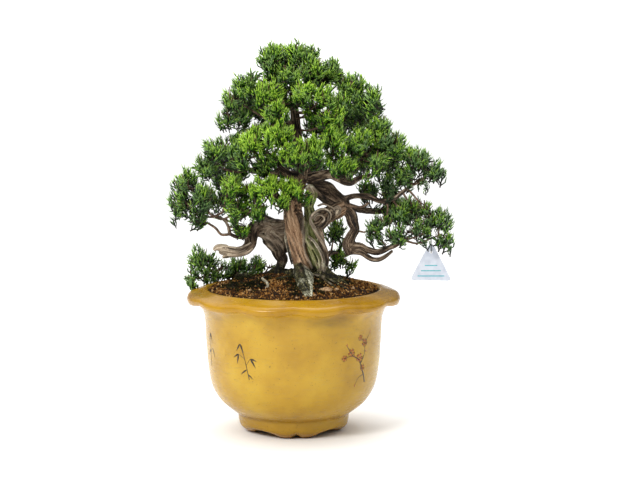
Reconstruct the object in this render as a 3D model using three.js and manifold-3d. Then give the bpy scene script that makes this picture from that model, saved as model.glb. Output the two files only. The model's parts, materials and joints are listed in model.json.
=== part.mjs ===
// A Chinese juniper grown as a bonsai, in its round glazed stoneware pot.
//
// Millimetres, +Z up, standing on Z = 0. The model is laid out round the pot's axis, with the viewer on
// the -Y side, and the whole group is moved at the end so that the origin is under its middle.

import * as THREE from 'three';
import { mergeVertices } from 'three/addons/utils/BufferGeometryUtils.js';
import Module from 'manifold-3d';

const wasm = await Module();
wasm.setup();

// Driving dimensions

const CROWN_OFFSET = 27;           // how far the middle of the whole tree lies to the right of the pot's axis
const FIT_GAP = 0.35;              // clearance between pieces that touch
const SLIVER = 0.05;               // edges and ridges smaller than this are smoothed away

const LIP_RADIUS = 152;            // lip at the creases between two lobes
const LIP_LOBES = 12;
const LOBE_REACH = 2.5;            // how far a lobe stands out past a crease
const LOBE_DROP = 4.5;             // how far a lobe's lower edge hangs below a crease
const LIP_TOP = 205.5;             // crest of the lip above the floor
const POT_SEGMENTS = 48;
const FOOT_COUNT = 4;
const FOOT_TURN = 3.5;             // degrees the feet are turned from the front
// Lower edge of the foot ring: degrees from a foot's middle and height, from the notch between its two
// toes over the sole of a toe to the arch between two feet
const FOOT_EDGE = [[0, 4.6], [5, 1.8], [10, 0], [16.5, 0], [24, 2.2], [33, 5.2], [45, 6.9]];
const POT_FLOOR = 26;              // inside floor above the table
const DRAIN_RADIUS = 8;
const DRAIN_CIRCLE = 28;
const DRAIN_COUNT = 3;
const DRAIN_SIDES = 16;

const SCREEN_SIDE = 24;
const SCREEN_THICKNESS = 1.2;
const SCREEN_HOLE = 7;
const SCREEN_PITCH = 9.5;

const SOIL_CROWN = 223.5;          // level of the mounded soil at the trunk
const SOIL_FALL = 19.5;            // how much lower it is at the pot wall
const SOIL_RIM = 122.6;            // radius of the soil's surface
const SOIL_TOP_RADII = [122.1, 100, 81, 58, 32, 0];  // rings of its upper side
const SOIL_GRAIN = 1.1;            // height of the grains' relief
const SOIL_WANDER = 1.5;           // how far the relief's points wander in and out
const SOIL_SEGMENTS = 28;

const TRUNK_SIDES = 8;
const LIMB_SIDES = 5;
const THIN_LIMB = 5;               // a limb whose foot has no more than this radius
const THIN_LIMB_SIDES = 4;
const FEED_RADII = [2.6, 1.3];     // a brown twig at the wood and at its spray
const FEED_SIDES = 3;

const TUFT_FULLNESS = 1.15;        // tufts in one pad grow into each other by this much
const SHOOT_REACH = [0.86, 1.05];  // how far out the shoots end, as a share of the tuft's radius
const SHOOT_SPREAD = 0.3;          // how far shoots stray from straight outwards
const SHOOT_RISE = 0.38;           // and how much they turn up
const CORE_SHARE = 0.42;           // slim core of a tuft, as a share of its radius
const SHOOT_ROOM = 2.2;            // free space between a shoot's middle line and the bark
const TWIG_RISE = 0.4;             // brown twigs rise about this much for their run, where they can
const FEED_STOP = 1;               // a brown twig ends this far from the core that it carries
const LEAF_CLEARANCE = 2;          // leaves keep this far above the lip and the soil
const CELL_MARGIN = 1.6;           // free space kept along the border between two sprays
const CORE_LENGTHS = [1, 0.85, 0.7, 0.55, 0.4, 0.25, 0.1];  // tried in turn until a corner has room
const SHOOT_LENGTHS = [1, 0.9, 0.8, 0.7, 0.6, 0.5];         // likewise for a shoot
const SHOOT_PROBES = [0.15, 0.3, 0.45, 0.6, 0.75, 0.9, 1];  // places along a shoot that must clear the bark

const TAG_THICKNESS = 0.8;
const TAG_HOLE_RADIUS = 2;
const TAG_CURVE_SEGMENTS = 5;
const WIRE_RADIUS = 0.7;
const WIRE_SIDES = 6;

// Helpers

// Repeatable random numbers between 0 and 1.
function randomSource(seed) {
  let state = seed;
  return () => {
    state = (state + 0x6D2B79F5) | 0;
    let mixed = Math.imul(state ^ (state >>> 15), 1 | state);
    mixed = (mixed + Math.imul(mixed ^ (mixed >>> 7), 61 | mixed)) ^ mixed;
    return ((mixed ^ (mixed >>> 14)) >>> 0) / 4294967296;
  };
}

function stripped(geometry) {
  geometry.deleteAttribute('normal');
  geometry.deleteAttribute('uv');
  return geometry;
}

function solid(geometry) {
  const merged = mergeVertices(stripped(geometry.clone()), 1e-4);
  const vertProperties = new Float32Array(merged.attributes.position.array);
  const triVerts = new Uint32Array(merged.index.array);
  return new wasm.Manifold(new wasm.Mesh({ numProp: 3, vertProperties, triVerts }));
}

// The solid of a closed mesh, turned inside out first if its faces point inwards.
function outwardSolid(geometry) {
  const body = solid(geometry);
  if (body.volume() > 0) return body;
  const index = geometry.index;
  for (let corner = 0; corner < index.count; corner += 3) {
    const first = index.getX(corner);
    index.setX(corner, index.getX(corner + 1));
    index.setX(corner + 1, first);
  }
  return solid(geometry);
}

function geometryOf(body) {
  const mesh = body.getMesh();
  const geometry = new THREE.BufferGeometry();
  geometry.setAttribute('position', new THREE.BufferAttribute(new Float32Array(mesh.vertProperties), 3));
  geometry.setIndex(new THREE.BufferAttribute(new Uint32Array(mesh.triVerts), 1));
  return geometry;
}

function union(bodies) {
  return wasm.Manifold.union(bodies);
}

// The same body without the slivers and tiny edges that cutting and joining leave.
function cleaned(body) {
  return body.simplify(SLIVER);
}

// The biggest of the separate lumps of a body. Loose scraps are dropped.
function largestLump(body) {
  const lumps = body.decompose();
  return lumps.reduce((best, lump) => (lump.volume() > best.volume() ? lump : best));
}

const group = new THREE.Group();

function addPiece(name, geometry, color, roughness, metalness = 0) {
  const faceted = geometry.index ? geometry.toNonIndexed() : geometry;
  faceted.computeVertexNormals();
  const material = new THREE.MeshStandardMaterial({ color, roughness, metalness });
  const mesh = new THREE.Mesh(faceted, material);
  mesh.name = name;
  group.add(mesh);
  return mesh;
}

// A tapered tube through points [x, y, z, radius], grown on all sides by grow. The ridge function scales
// the radius by angle and length.
function limbBody(points, sides, grow = 0, ridge = () => 1) {
  const curve = new THREE.CatmullRomCurve3(points.map(([x, y, z]) => new THREE.Vector3(x, y, z)), false,
    'centripetal');
  const steps = points.length - 1;
  const frames = curve.computeFrenetFrames(steps, false);
  const geometry = new THREE.CylinderGeometry(1, 1, 1, sides, steps, false);
  const position = geometry.attributes.position;
  const axisPoint = new THREE.Vector3();
  for (let index = 0; index < position.count; index += 1) {
    const along = 0.5 - position.getY(index);
    const step = Math.round(along * steps);
    const onCurve = curve.getUtoTmapping(step / steps) * steps;
    const before = Math.min(Math.floor(onCurve), steps - 1);
    const radius = THREE.MathUtils.lerp(points[before][3], points[before + 1][3], onCurve - before);
    const across = position.getX(index);
    const up = position.getZ(index);
    const angle = Math.atan2(up, across);
    const reach = radius * ridge(angle, step / steps) + grow;
    curve.getPoint(onCurve / steps, axisPoint);
    axisPoint.addScaledVector(frames.normals[step], across * reach);
    axisPoint.addScaledVector(frames.binormals[step], up * reach);
    if (grow > 0 && step === 0) axisPoint.addScaledVector(frames.tangents[step], -grow);
    if (grow > 0 && step === steps) axisPoint.addScaledVector(frames.tangents[step], grow);
    position.setXYZ(index, axisPoint.x, axisPoint.y, axisPoint.z);
  }
  return outwardSolid(geometry);
}

// The pot

// Profile of the pot's outside and inside. Each point has a radius and a height, how much it stands out
// and hangs down with the lobes of the lip, and how much it follows the edge of the foot.
const POT_PROFILE = [
  { r: 0, z: 14 },
  { r: 51, z: 14 },
  { r: 56, z: 0, foot: 1 },
  { r: 64.5, z: 0, foot: 1 },
  { r: 72, z: 3.8, foot: 0.8 },
  { r: 77.5, z: 9, foot: 0.4 },
  { r: 80, z: 25 },
  { r: 90, z: 32.5 },
  { r: 104.5, z: 45 },
  { r: 117, z: 66 },
  { r: 123, z: 97 },
  { r: 125, z: 128 },
  { r: 128.4, z: 170, lobe: 0.1 },
  { r: LIP_RADIUS - 15, z: 187, lobe: 0.6, drop: 0.8 },
  { r: LIP_RADIUS - 1.5, z: 190.5, lobe: 1, drop: 1 },
  { r: LIP_RADIUS, z: 195, lobe: 1, drop: 0.8 },
  { r: LIP_RADIUS - 3.5, z: 199.5, lobe: 1, drop: 0.6 },
  { r: 136, z: 203.2, lobe: 0.3, drop: 0.2 },
  { r: 125, z: LIP_TOP },
  { r: 123, z: 203.5 },
  { r: 119.5, z: 196 },
  { r: 114, z: 110 },
  { r: 103, z: 60 },
  { r: 82, z: 36 },
  { r: 62, z: POT_FLOOR },
  { r: 0, z: POT_FLOOR },
];

// 1 in the middle of a lobe and 0 in a crease. The angle is measured from the front, where a crease is.
function lobeShape(angle) {
  return Math.abs(Math.sin(angle * LIP_LOBES / 2));
}

// The foot ring's lower edge: the angle that a segment is moved to, and its height above the table.
function footEdge(angle) {
  const pitch = 360 / FOOT_COUNT;
  const degrees = THREE.MathUtils.radToDeg(angle);
  const middle = pitch * Math.round(degrees / pitch);
  const [away, height] = FOOT_EDGE[Math.round(Math.abs(degrees - middle) / (360 / POT_SEGMENTS))];
  const moved = middle + Math.sign(degrees - middle) * away + FOOT_TURN;
  return { angle: THREE.MathUtils.degToRad(moved), height };
}

function evenAngles(count) {
  return Array.from({ length: count }, (_, index) => 2 * Math.PI * index / count);
}

// A turned body whose points follow the profile at each given angle from the front.
function turnedBody(profile, angles, place) {
  const outline = profile.map(({ r, z }) => new THREE.Vector2(r, z));
  const geometry = new THREE.LatheGeometry(outline, angles.length);
  const position = geometry.attributes.position;
  for (let index = 0; index < position.count; index += 1) {
    const turn = Math.floor(index / profile.length) % angles.length;
    const point = profile[index % profile.length];
    const angle = angles[turn];
    const { r, z, moved = angle } = place(point, angle);
    position.setXYZ(index, r * Math.sin(moved), -r * Math.cos(moved), z);
  }
  return outwardSolid(geometry);
}

function potPlace({ r, z, lobe = 0, drop = 0, foot = 0 }, angle) {
  const shape = lobeShape(angle);
  const edge = footEdge(angle);
  return {
    r: r + lobe * LOBE_REACH * shape,
    z: z - drop * LOBE_DROP * shape + foot * edge.height,
    moved: angle + foot * (edge.angle - angle),
  };
}

function drainPlace(number) {
  const angle = 2 * Math.PI * number / DRAIN_COUNT;
  return [DRAIN_CIRCLE * Math.sin(angle), -DRAIN_CIRCLE * Math.cos(angle)];
}

function potBody() {
  let pot = turnedBody(POT_PROFILE, evenAngles(POT_SEGMENTS), potPlace);
  for (let number = 0; number < DRAIN_COUNT; number += 1) {
    const [x, y] = drainPlace(number);
    const drill = new THREE.CylinderGeometry(DRAIN_RADIUS, DRAIN_RADIUS, 2 * POT_FLOOR, DRAIN_SIDES);
    drill.rotateX(Math.PI / 2);
    drill.translate(x, y, POT_FLOOR / 2);
    pot = pot.subtract(solid(drill));
  }
  return pot;
}

// The screens over the drainage holes

function screenBody() {
  let screen = solid(new THREE.BoxGeometry(SCREEN_SIDE, SCREEN_SIDE, SCREEN_THICKNESS));
  for (const column of [-0.5, 0.5]) {
    for (const row of [-0.5, 0.5]) {
      const hole = new THREE.BoxGeometry(SCREEN_HOLE, SCREEN_HOLE, 2 * SCREEN_THICKNESS);
      hole.translate(column * SCREEN_PITCH, row * SCREEN_PITCH, 0);
      screen = screen.subtract(solid(hole));
    }
  }
  return screen;
}

// The wood: roots, trunks and limbs, each a list of points [x, y, z, radius]

const TRUNK_PARTS = [
  // the smooth left strand of the main trunk, from inside the soil up to the fork
  [[18, 2, 168, 9], [17, -2, 192, 13], [15, -5, 214, 14], [12, -7, 236, 12], [6, -9, 262, 11.5],
    [1, -9, 291, 12.5], [-1, -8, 314, 13], [1, -6, 333, 11.5], [6, -4, 350, 9.5], [14, 0, 367, 8]],
  // the fibrous right strand, which ends in a dead stub in front of the fork
  [[34, 6, 170, 9], [35, 5, 190, 12], [35, 5, 210, 12.5], [33, 2, 238, 12], [29, 1, 262, 11.5],
    [23, 2, 284, 10.5], [24, 2, 307, 9], [22, -1, 324, 7], [25, -4, 339, 7.5], [23, -4, 353, 4.5]],
  // the bark ridge on the right of it
  [[33, -2, 297, 4.5], [38, -4, 284, 4.8], [40, -4, 270, 5], [43.5, -4, 258, 5], [45, -4, 246, 5],
    [44.5, -4, 234, 5], [44, 0, 215, 6], [45, 2, 200, 5]],
  // the knot and the thick limb twisting away to the right
  [[20, 6, 300, 10], [33, 2, 298, 11.5], [46, 4, 308, 11.5], [62, 6, 315, 11], [75, 6, 320, 9]],
  // the second trunk at the left, leaning over to join the first
  [[-14, 28, 185, 7], [-20, 26, 205, 9], [-20, 25, 226, 8], [-17, 24, 235, 8], [-15, 24, 243, 10],
    [-20, 23, 251, 9.5], [-21, 22, 259, 13], [-24, 20, 269, 14.5], [-31, 18, 281, 16],
    [-35, 18, 288, 15], [-25, 16, 294, 15], [-8, 10, 292, 13], [4, 4, 284, 10]],
];

const LIMBS = [
  // the hooked dead branch at the left
  [[-35, 18, 290, 11], [-55, 8, 289, 10.5], [-61, 2, 278, 9.5], [-62, -3, 267, 8.5], [-72, -8, 259, 7.5],
    [-87, -12, 258, 7.5], [-100, -14, 262, 7.5], [-112, -16, 265, 6.5]],
  // the leader, up to the apex
  [[12, 0, 360, 9], [15, 4, 376, 9], [9, 8, 400, 8], [4, 10, 431, 7], [1, 10, 463, 6], [-1, 6, 488, 4.5],
    [-3, 2, 512, 3]],
  // upper left
  [[10, 0, 362, 7.5], [-6, -4, 367, 6.5], [-19, -8, 376, 5.5], [-27, -14, 388, 5], [-40, -22, 401, 3.8]],
  // upper right, and the thick branch rising from it
  [[16, 3, 362, 8], [35, 1, 366, 7], [53, -2, 368, 6.5], [63, -6, 363, 5.5], [75, -8, 357, 5],
    [82, -9, 356, 4.5], [91, -11, 362, 4], [110, -14, 368, 2.8]],
  [[72, -7, 358, 5], [80, -4, 369, 5.5], [90, 0, 380, 5], [99, 4, 391, 4.5], [111, 6, 405, 3.2]],
  // the dark limb behind the stub, down to where the right-hand branches part, and the wood below it
  [[24, 8, 358, 8], [41, 14, 351, 8], [51, 14, 347, 7.5], [60, 12, 338, 7], [71, 10, 328, 7.5],
    [75, 9, 319, 8]],
  [[30, 10, 344, 6], [46, 14, 333, 9], [60, 10, 323, 8]],
  // a dead arm of the stub
  [[28, 0, 347, 5], [38, 5, 338, 4], [46, 8, 330, 4.5]],
  // the long branch to the right tip
  [[66, 12, 333, 5.5], [73, 8, 333, 4.5], [88, 4, 337, 3.8], [106, 0, 336, 3.8], [123, -4, 330, 3.6],
    [141, -6, 333, 3.4], [155, -6, 343, 3], [168, -6, 353, 2.4]],
  // a thin twig below it
  [[70, 6, 322, 3], [77, 2, 323, 2.5], [95, 0, 321, 2], [108, 0, 327, 1.6]],
  // the S-shaped branch falling on the right, and the two that leave its foot
  [[66, 8, 317, 8], [72, 8, 318, 8.5], [81, 4, 311, 8.5], [84.5, 0, 299, 8.3], [87.5, -2, 289, 6.8],
    [83, -4, 280, 7.5], [79, -4, 272, 7.5], [78, -4, 264, 7.5], [81, -4, 253, 5.5]],
  [[79, -4, 265, 6], [94, -8, 266, 5], [107, -10, 260, 4.8], [120, -12, 258, 4.5], [133, -12, 263, 4],
    [145, -12, 268, 3.5], [157, -12, 275, 2.6]],
  [[80, -4, 258, 5], [96, -16, 257, 4.2], [110, -20, 249, 3.8], [121, -20, 248, 3.5], [132, -20, 254, 2.8],
    [141, -18, 261, 2.2]],
  // the thin forked branch at the left
  [[-57, 8, 285, 4.5], [-69, -6, 279, 3.5], [-81, -12, 280, 3], [-90, -16, 285, 2.8], [-92, -18, 295, 2.5],
    [-99, -18, 305, 2.2], [-112, -18, 309, 2]],
  [[-89, -16, 284, 2.3], [-102, -20, 284, 2], [-110, -20, 293, 1.9], [-121, -18, 300, 1.7]],
  // the low branch along the back of the soil, at the left
  [[-24, 24, 240, 6], [-40, 44, 230, 4.5], [-58, 60, 219, 3.6], [-78, 74, 213, 3], [-98, 80, 210, 2.6],
    [-112, 70, 215, 2.2], [-122, 64, 222, 1.8]],
  // the low branch behind the trunk, at the right
  [[36, 8, 238, 6], [46, 26, 246, 4.5], [54, 44, 250, 3.5], [64, 58, 248, 2.4]],
  // the back limbs
  [[12, 4, 366, 7], [-4, 22, 366, 6], [-34, 44, 366, 5], [-66, 56, 370, 4]],
  [[22, 8, 358, 7], [40, 34, 362, 6], [72, 52, 368, 5], [98, 58, 378, 4]],
  [[8, 8, 400, 6.5], [10, 36, 398, 5], [12, 66, 390, 4], [12, 88, 384, 3]],
  [[-30, 20, 294, 8], [-56, 40, 306, 6], [-84, 54, 316, 4.5], [-100, 60, 322, 3.5]],
  [[74, 12, 322, 6], [98, 34, 314, 5], [124, 52, 310, 4], [140, 60, 312, 3]],
];

const ROOTS = [
  // surface roots leaving the trunk's foot and diving into the soil
  [[8, -14, 238, 7], [10, -38, 229, 8], [14, -62, 222, 8], [19, -86, 213, 7], [23, -102, 203, 4]],
  [[12, -4, 232, 9], [-4, -16, 225, 7], [-20, -28, 219, 5], [-36, -38, 206, 3]],
  [[40, -4, 232, 9], [54, -16, 224, 6], [68, -28, 217, 4], [84, -36, 203, 2.6]],
  [[44, 4, 232, 9], [64, 8, 222, 6], [84, 12, 211, 4], [98, 14, 196, 3]],
  [[36, 8, 230, 9], [42, 30, 221, 6.5], [50, 52, 211, 4.5], [56, 68, 198, 3]],
  [[-18, 28, 232, 9], [-36, 34, 222, 6.5], [-56, 42, 212, 4.5], [-70, 48, 200, 3]],
  [[-12, 30, 230, 8], [-6, 50, 220, 6], [-4, 70, 210, 4.5], [-4, 84, 196, 3]],
  [[2, 10, 232, 11], [-8, 18, 226, 10], [-16, 26, 224, 10]],
];

// Grooves and fluted strands that turn slowly along a trunk.
function flutes(angle, along) {
  const twist = 2.4 * along;
  return 1 + 0.08 * Math.cos(3 * (angle + twist)) + 0.05 * Math.cos(5 * (angle - twist) + 1);
}

function woodBodies(grow) {
  const trunks = TRUNK_PARTS.map((points) => limbBody(points, TRUNK_SIDES, grow, flutes));
  const limbs = [...LIMBS, ...ROOTS].map((points) => {
    const sides = points[0][3] > THIN_LIMB ? LIMB_SIDES : THIN_LIMB_SIDES;
    return limbBody(points, sides, grow, flutes);
  });
  return [...trunks, ...limbs];
}

// The foliage: sprays of one or more tufts [x, y, z, radius in x, radius in y, radius in z]

const SPRAYS = {
  apex_left: [[-31, -4, 532, 21, 24, 23]],
  apex_top: [[0, 0, 536, 21, 24, 21], [-3, -24, 512, 20, 18, 15]],
  apex_right: [[28, -4, 520, 20, 22, 21], [54, 8, 514, 18, 20, 20]],
  upper_left: [[-65, -4, 494, 24, 26, 21], [-84, -12, 476, 19, 24, 21], [-85, -5, 451, 23, 22, 16]],
  centre_left: [[-31, -32, 487, 21, 20, 17], [-24, -45, 464, 19, 20, 17]],
  centre_high: [[15, -42, 487, 19, 20, 15], [42, -40, 482, 19, 22, 18], [53, -38, 455, 18, 22, 17]],
  upper_right: [[83, 5, 490, 21, 26, 23], [67, -18, 471, 17, 20, 15]],
  right_shoulder: [[104, 0, 473, 22, 28, 24], [118, -4, 442, 20, 26, 18]],
  centre_mid: [[-22, -60, 432, 23, 22, 18], [-51, -50, 419, 22, 24, 18]],
  front_mid: [[0, -70, 406, 23, 24, 18], [26, -58, 411, 19, 22, 18]],
  left_inner: [[-75, -40, 399, 18, 26, 19]],
  right_front: [[57, -45, 425, 19, 24, 18], [68, -45, 391, 22, 24, 14]],
  right_mid: [[91, -28, 419, 21, 28, 20], [113, -30, 394, 21, 26, 15]],
  right_outer: [[125, -12, 419, 20, 28, 20], [145, -10, 405, 18, 26, 17]],
  right_tip: [[158, -5, 370, 18, 24, 14], [175, -8, 392, 20, 26, 18], [196, -8, 379, 19, 22, 13]],
  left_mid: [[-106, -15, 408, 22, 28, 17], [-121, -15, 387, 20, 26, 18]],
  left_far: [[-129, -30, 340, 18, 26, 22], [-151, -15, 357, 22, 30, 20], [-156, -12, 330, 20, 28, 20],
    [-136, -15, 312, 17, 24, 13]],
  left_low: [[-85, -45, 357, 18, 24, 18], [-78, -30, 325, 18, 24, 20]],
  front_low: [[-40, -62, 355, 22, 22, 17], [-22, -58, 332, 19, 20, 14]],
  front_low_right: [[-3, -48, 353, 19, 20, 18], [12, -42, 333, 14, 14, 12]],
  lower_right: [[144, -18, 288, 20, 26, 17], [121, -8, 295, 20, 28, 19]],
  lower_right_mid: [[157, -2, 316, 21, 30, 20], [179, -15, 298, 20, 28, 18]],
  lower_right_end: [[203, -10, 310, 21, 26, 15], [211, -18, 284, 16, 22, 12]],
  ground_left: [[-120, 66, 218, 17, 22, 13], [-134, 56, 240, 22, 26, 19], [-147, 44, 216, 16, 20, 12]],
  ground_mid: [[-86, 95, 226, 21, 24, 18], [-57, 92, 229, 18, 20, 16]],
  behind_right: [[60, 58, 286, 16, 20, 17], [66, 66, 246, 14, 20, 14], [80, 58, 232, 11, 16, 11]],
  inner_right: [[109, 42, 346, 17, 22, 14], [133, 38, 339, 17, 20, 11]],
  back_apex: [[-14, 34, 515, 24, 22, 23], [22, 38, 504, 24, 24, 22]],
  back_upper_left: [[-63, 50, 463, 29, 30, 23]],
  back_upper_right: [[84, 58, 451, 32, 32, 25]],
  back_centre: [[35, 78, 436, 23, 28, 22], [-15, 82, 433, 23, 28, 20]],
  back_left: [[-96, 62, 376, 32, 34, 25]],
  back_middle: [[11, 105, 381, 35, 34, 22]],
  back_right: [[119, 62, 385, 33, 34, 22]],
  back_left_low: [[-116, 62, 329, 29, 30, 20]],
  back_right_low: [[158, 66, 314, 29, 30, 19]],
};

const tufts = Object.entries(SPRAYS).flatMap(([spray, list]) => list.map(([x, y, z, rx, ry, rz]) => ({
  spray,
  centre: new THREE.Vector3(x, y, z),
  radii: new THREE.Vector3(rx, ry, rz).multiplyScalar(TUFT_FULLNESS),
  size: Math.cbrt(rx * ry * rz),
})));

// How far a point is inside its own tuft's share of the room, seen from another tuft. The border between
// two tufts is a plane, so whatever has all its corners inside keeps clear of the neighbour.
function marginTo(point, own, other) {
  const apart = own.centre.distanceTo(other.centre);
  const toOwn = point.distanceToSquared(own.centre) - own.size ** 2;
  const toOther = point.distanceToSquared(other.centre) - other.size ** 2;
  return (toOther - toOwn) / (2 * apart);
}

function soilLevel(r) {
  return SOIL_CROWN - SOIL_FALL * (r / SOIL_RIM) ** 2;
}

function insideCell(point, own) {
  const ground = Math.max(LIP_TOP, soilLevel(Math.hypot(point.x, point.y)));
  return point.z > ground + LEAF_CLEARANCE && tufts.every((other) => (
    other.spray === own.spray || marginTo(point, own, other) > CELL_MARGIN));
}

function middleOf(...points) {
  return points.reduce((sum, point) => sum.add(point), new THREE.Vector3()).divideScalar(points.length);
}

// The faces of a tuft's slim lumpy core. The foot of a face is the triangle between the middles of its sides.
function coreFaces(tuft, random) {
  const core = mergeVertices(stripped(new THREE.IcosahedronGeometry(1, 0)), 1e-4);
  const turn = new THREE.Quaternion().setFromAxisAngle(new THREE.Vector3(0, 0, 1), 2 * Math.PI * random());
  const corners = Array.from({ length: core.attributes.position.count }, (_, index) => {
    const corner = new THREE.Vector3().fromBufferAttribute(core.attributes.position, index);
    corner.applyQuaternion(turn).multiplyScalar(CORE_SHARE * (0.85 + 0.3 * random()));
    corner.multiply(tuft.radii).add(tuft.centre);
    const pulled = CORE_LENGTHS.map((share) => tuft.centre.clone().lerp(corner, share));
    return pulled.find((point) => insideCell(point, tuft));
  });
  return Array.from({ length: core.index.count / 3 }, (_, face) => {
    const ring = [0, 1, 2].map((side) => corners[core.index.getX(3 * face + side)]);
    const foot = ring.map((corner, side) => middleOf(corner, ring[(side + 1) % 3]));
    return { ring, foot, middle: middleOf(...ring) };
  });
}

tufts.forEach((tuft, number) => {
  tuft.random = randomSource(1000 + number);
  tuft.faces = coreFaces(tuft, tuft.random);
});

// The free face that looks most nearly at a point. It is kept for a twig, so no shoot grows on it.
function twigFace(tuft, goal, kind) {
  const aim = goal.clone().sub(tuft.centre).normalize();
  const facing = (face) => (face.twig ? -2 : face.middle.clone().sub(tuft.centre).normalize().dot(aim));
  const best = tuft.faces.reduce((found, face) => (facing(face) > facing(found) ? face : found));
  best.twig = kind;
  return best;
}

// The three flat sides of a leafy twig between two tufts of one spray, from the foot of a face on the one
// to the foot of a face on the other, paired so that the twig is twisted least.
function linkFaces(from, to) {
  const near = twigFace(from, to.centre, 'linked').foot;
  const far = twigFace(to, from.centre, 'linked').foot;
  const paired = (shift) => near.map((_, side) => far[(shift + 3 - side) % 3]);
  const stretch = (ends) => ends.reduce((sum, end, side) => sum + end.distanceTo(near[side]), 0);
  const ends = [0, 1, 2].map(paired).reduce((best, next) => (stretch(next) < stretch(best) ? next : best));
  return near.flatMap((point, side) => {
    const next = (side + 1) % 3;
    return [[point, near[next], ends[next]], [point, ends[next], ends[side]]];
  });
}

const sprays = Object.keys(SPRAYS).map((name) => {
  const own = tufts.filter((tuft) => tuft.spray === name);
  const links = own.slice(1).flatMap((tuft, index) => linkFaces(own[index], tuft));
  return { name, own, links };
});

// A brown twig that carries a spray: from the nearest point of the wood almost to a face of its first tuft.
function feedPoints(tuft) {
  const starts = [...LIMBS, ...TRUNK_PARTS.slice(0, 2)].flatMap((points) => points.slice(1));
  const cost = ([x, y, z]) => {
    const across = Math.hypot(x - tuft.centre.x, y - tuft.centre.y);
    const rise = tuft.centre.z - z;
    return Math.hypot(across, rise) + 0.6 * Math.abs(rise - TWIG_RISE * across);
  };
  const [x, y, z, radius] = starts.reduce((best, start) => (cost(start) < cost(best) ? start : best));
  const start = new THREE.Vector3(x, y, z);
  const goal = twigFace(tuft, start, 'fed').middle;
  const end = start.clone().lerp(goal, 1 - FEED_STOP / start.distanceTo(goal));
  return [[x, y, z, Math.min(radius, FEED_RADII[0])], [end.x, end.y, end.z, FEED_RADII[1]]];
}

const FEEDS = sprays.map(({ own }) => feedPoints(own[0]));

function feedBodies(grow) {
  return FEEDS.map((points) => limbBody(points, FEED_SIDES, grow));
}

// Straight stretches of all the wood, which the shoots keep clear of
const woodStretches = [...TRUNK_PARTS, ...LIMBS, ...ROOTS, ...FEEDS].flatMap((points) => (
  points.slice(1).map((to, index) => ({
    line: new THREE.Line3(new THREE.Vector3(...points[index]), new THREE.Vector3(...to)),
    radius: Math.max(points[index][3], to[3]),
  }))));

// Smallest distance between a shoot and a stretch of wood, found at some places along the shoot.
function clearOfWood(root, tip) {
  const nearest = new THREE.Vector3();
  return SHOOT_PROBES.every((share) => {
    const place = root.clone().lerp(tip, share);
    return woodStretches.every(({ line, radius }) => (
      line.closestPointToPoint(place, true, nearest).distanceTo(place) > radius + SHOOT_ROOM));
  });
}

// Where the shoot from a face of the core ends, or nothing where there is no room for it.
function shootTip(face, tuft) {
  const { random } = tuft;
  const direction = face.middle.clone().sub(tuft.centre).divide(tuft.radii).normalize();
  direction.x += SHOOT_SPREAD * (random() - 0.5);
  direction.y += SHOOT_SPREAD * (random() - 0.5);
  direction.z += SHOOT_SPREAD * (random() - 0.5) + SHOOT_RISE;
  direction.normalize().multiplyScalar(SHOOT_REACH[0] + (SHOOT_REACH[1] - SHOOT_REACH[0]) * random());
  const goal = tuft.centre.clone().add(direction.multiply(tuft.radii));
  const tips = SHOOT_LENGTHS.map((share) => face.middle.clone().lerp(goal, share));
  return tips.find((tip) => insideCell(tip, tuft) && clearOfWood(face.middle, tip));
}

// A face of the core, split at the middles of its sides. The shoot's three long faces stand on the foot.
function tuftFaces(tuft) {
  return tuft.faces.flatMap((face) => {
    const { ring, foot } = face;
    const rim = ring.map((corner, side) => [corner, foot[side], foot[(side + 2) % 3]]);
    if (face.twig === 'linked') return rim;
    const tip = face.twig ? null : shootTip(face, tuft);
    if (!tip) return [...rim, foot];
    return [...rim, ...foot.map((point, side) => [point, foot[(side + 1) % 3], tip])];
  });
}

function sprayBody({ own, links }) {
  const geometry = new THREE.BufferGeometry();
  geometry.setFromPoints([...own.flatMap(tuftFaces), ...links].flat());
  return solid(geometry);
}

// The tag and its wire

const TAG_HOLE = new THREE.Vector3(195.5, -14, 258);
const TAG_CORNERS = [[0, 17, 6], [-30, -40, 4], [30, -41, 4]];  // across, up from the hole, corner radius

function tagGeometry() {
  const shape = new THREE.Shape();
  const corners = TAG_CORNERS.map(([x, y]) => new THREE.Vector2(x, y));
  corners.forEach((corner, index) => {
    const radius = TAG_CORNERS[index][2];
    const before = corners[(index + 2) % 3].clone().sub(corner).normalize();
    const after = corners[(index + 1) % 3].clone().sub(corner).normalize();
    const setback = radius / Math.tan(Math.acos(before.dot(after)) / 2);
    const start = corner.clone().addScaledVector(before, setback);
    const end = corner.clone().addScaledVector(after, setback);
    if (index === 0) shape.moveTo(start.x, start.y);
    else shape.lineTo(start.x, start.y);
    shape.quadraticCurveTo(corner.x, corner.y, end.x, end.y);
  });
  shape.closePath();
  const hole = new THREE.Path();
  hole.absarc(0, 0, TAG_HOLE_RADIUS, 0, 2 * Math.PI, true);
  shape.holes.push(hole);
  const plate = new THREE.ExtrudeGeometry(shape, {
    depth: TAG_THICKNESS,
    bevelEnabled: false,
    curveSegments: TAG_CURVE_SEGMENTS,
  });
  plate.rotateX(Math.PI / 2);
  plate.translate(TAG_HOLE.x, TAG_HOLE.y + TAG_THICKNESS / 2, TAG_HOLE.z);
  return plate;
}

// The wire hooks through the tag's hole, rises and bends over the twig inside the spray above it.
const WIRE_ROUTE = [
  [0, 4.6, 3], [0, 4, 0.4], [0, 2.4, -0.9], [0, 0, -1], [0, -2.4, -0.4], [0, -2.8, 4], [0, -1.2, 14],
  [-0.7, -0.7, 34], [-0.7, -0.8, 45], [-0.6, 3.2, 49], [-0.5, 7.6, 45.5], [-0.5, 8.6, 40],
];

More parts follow.
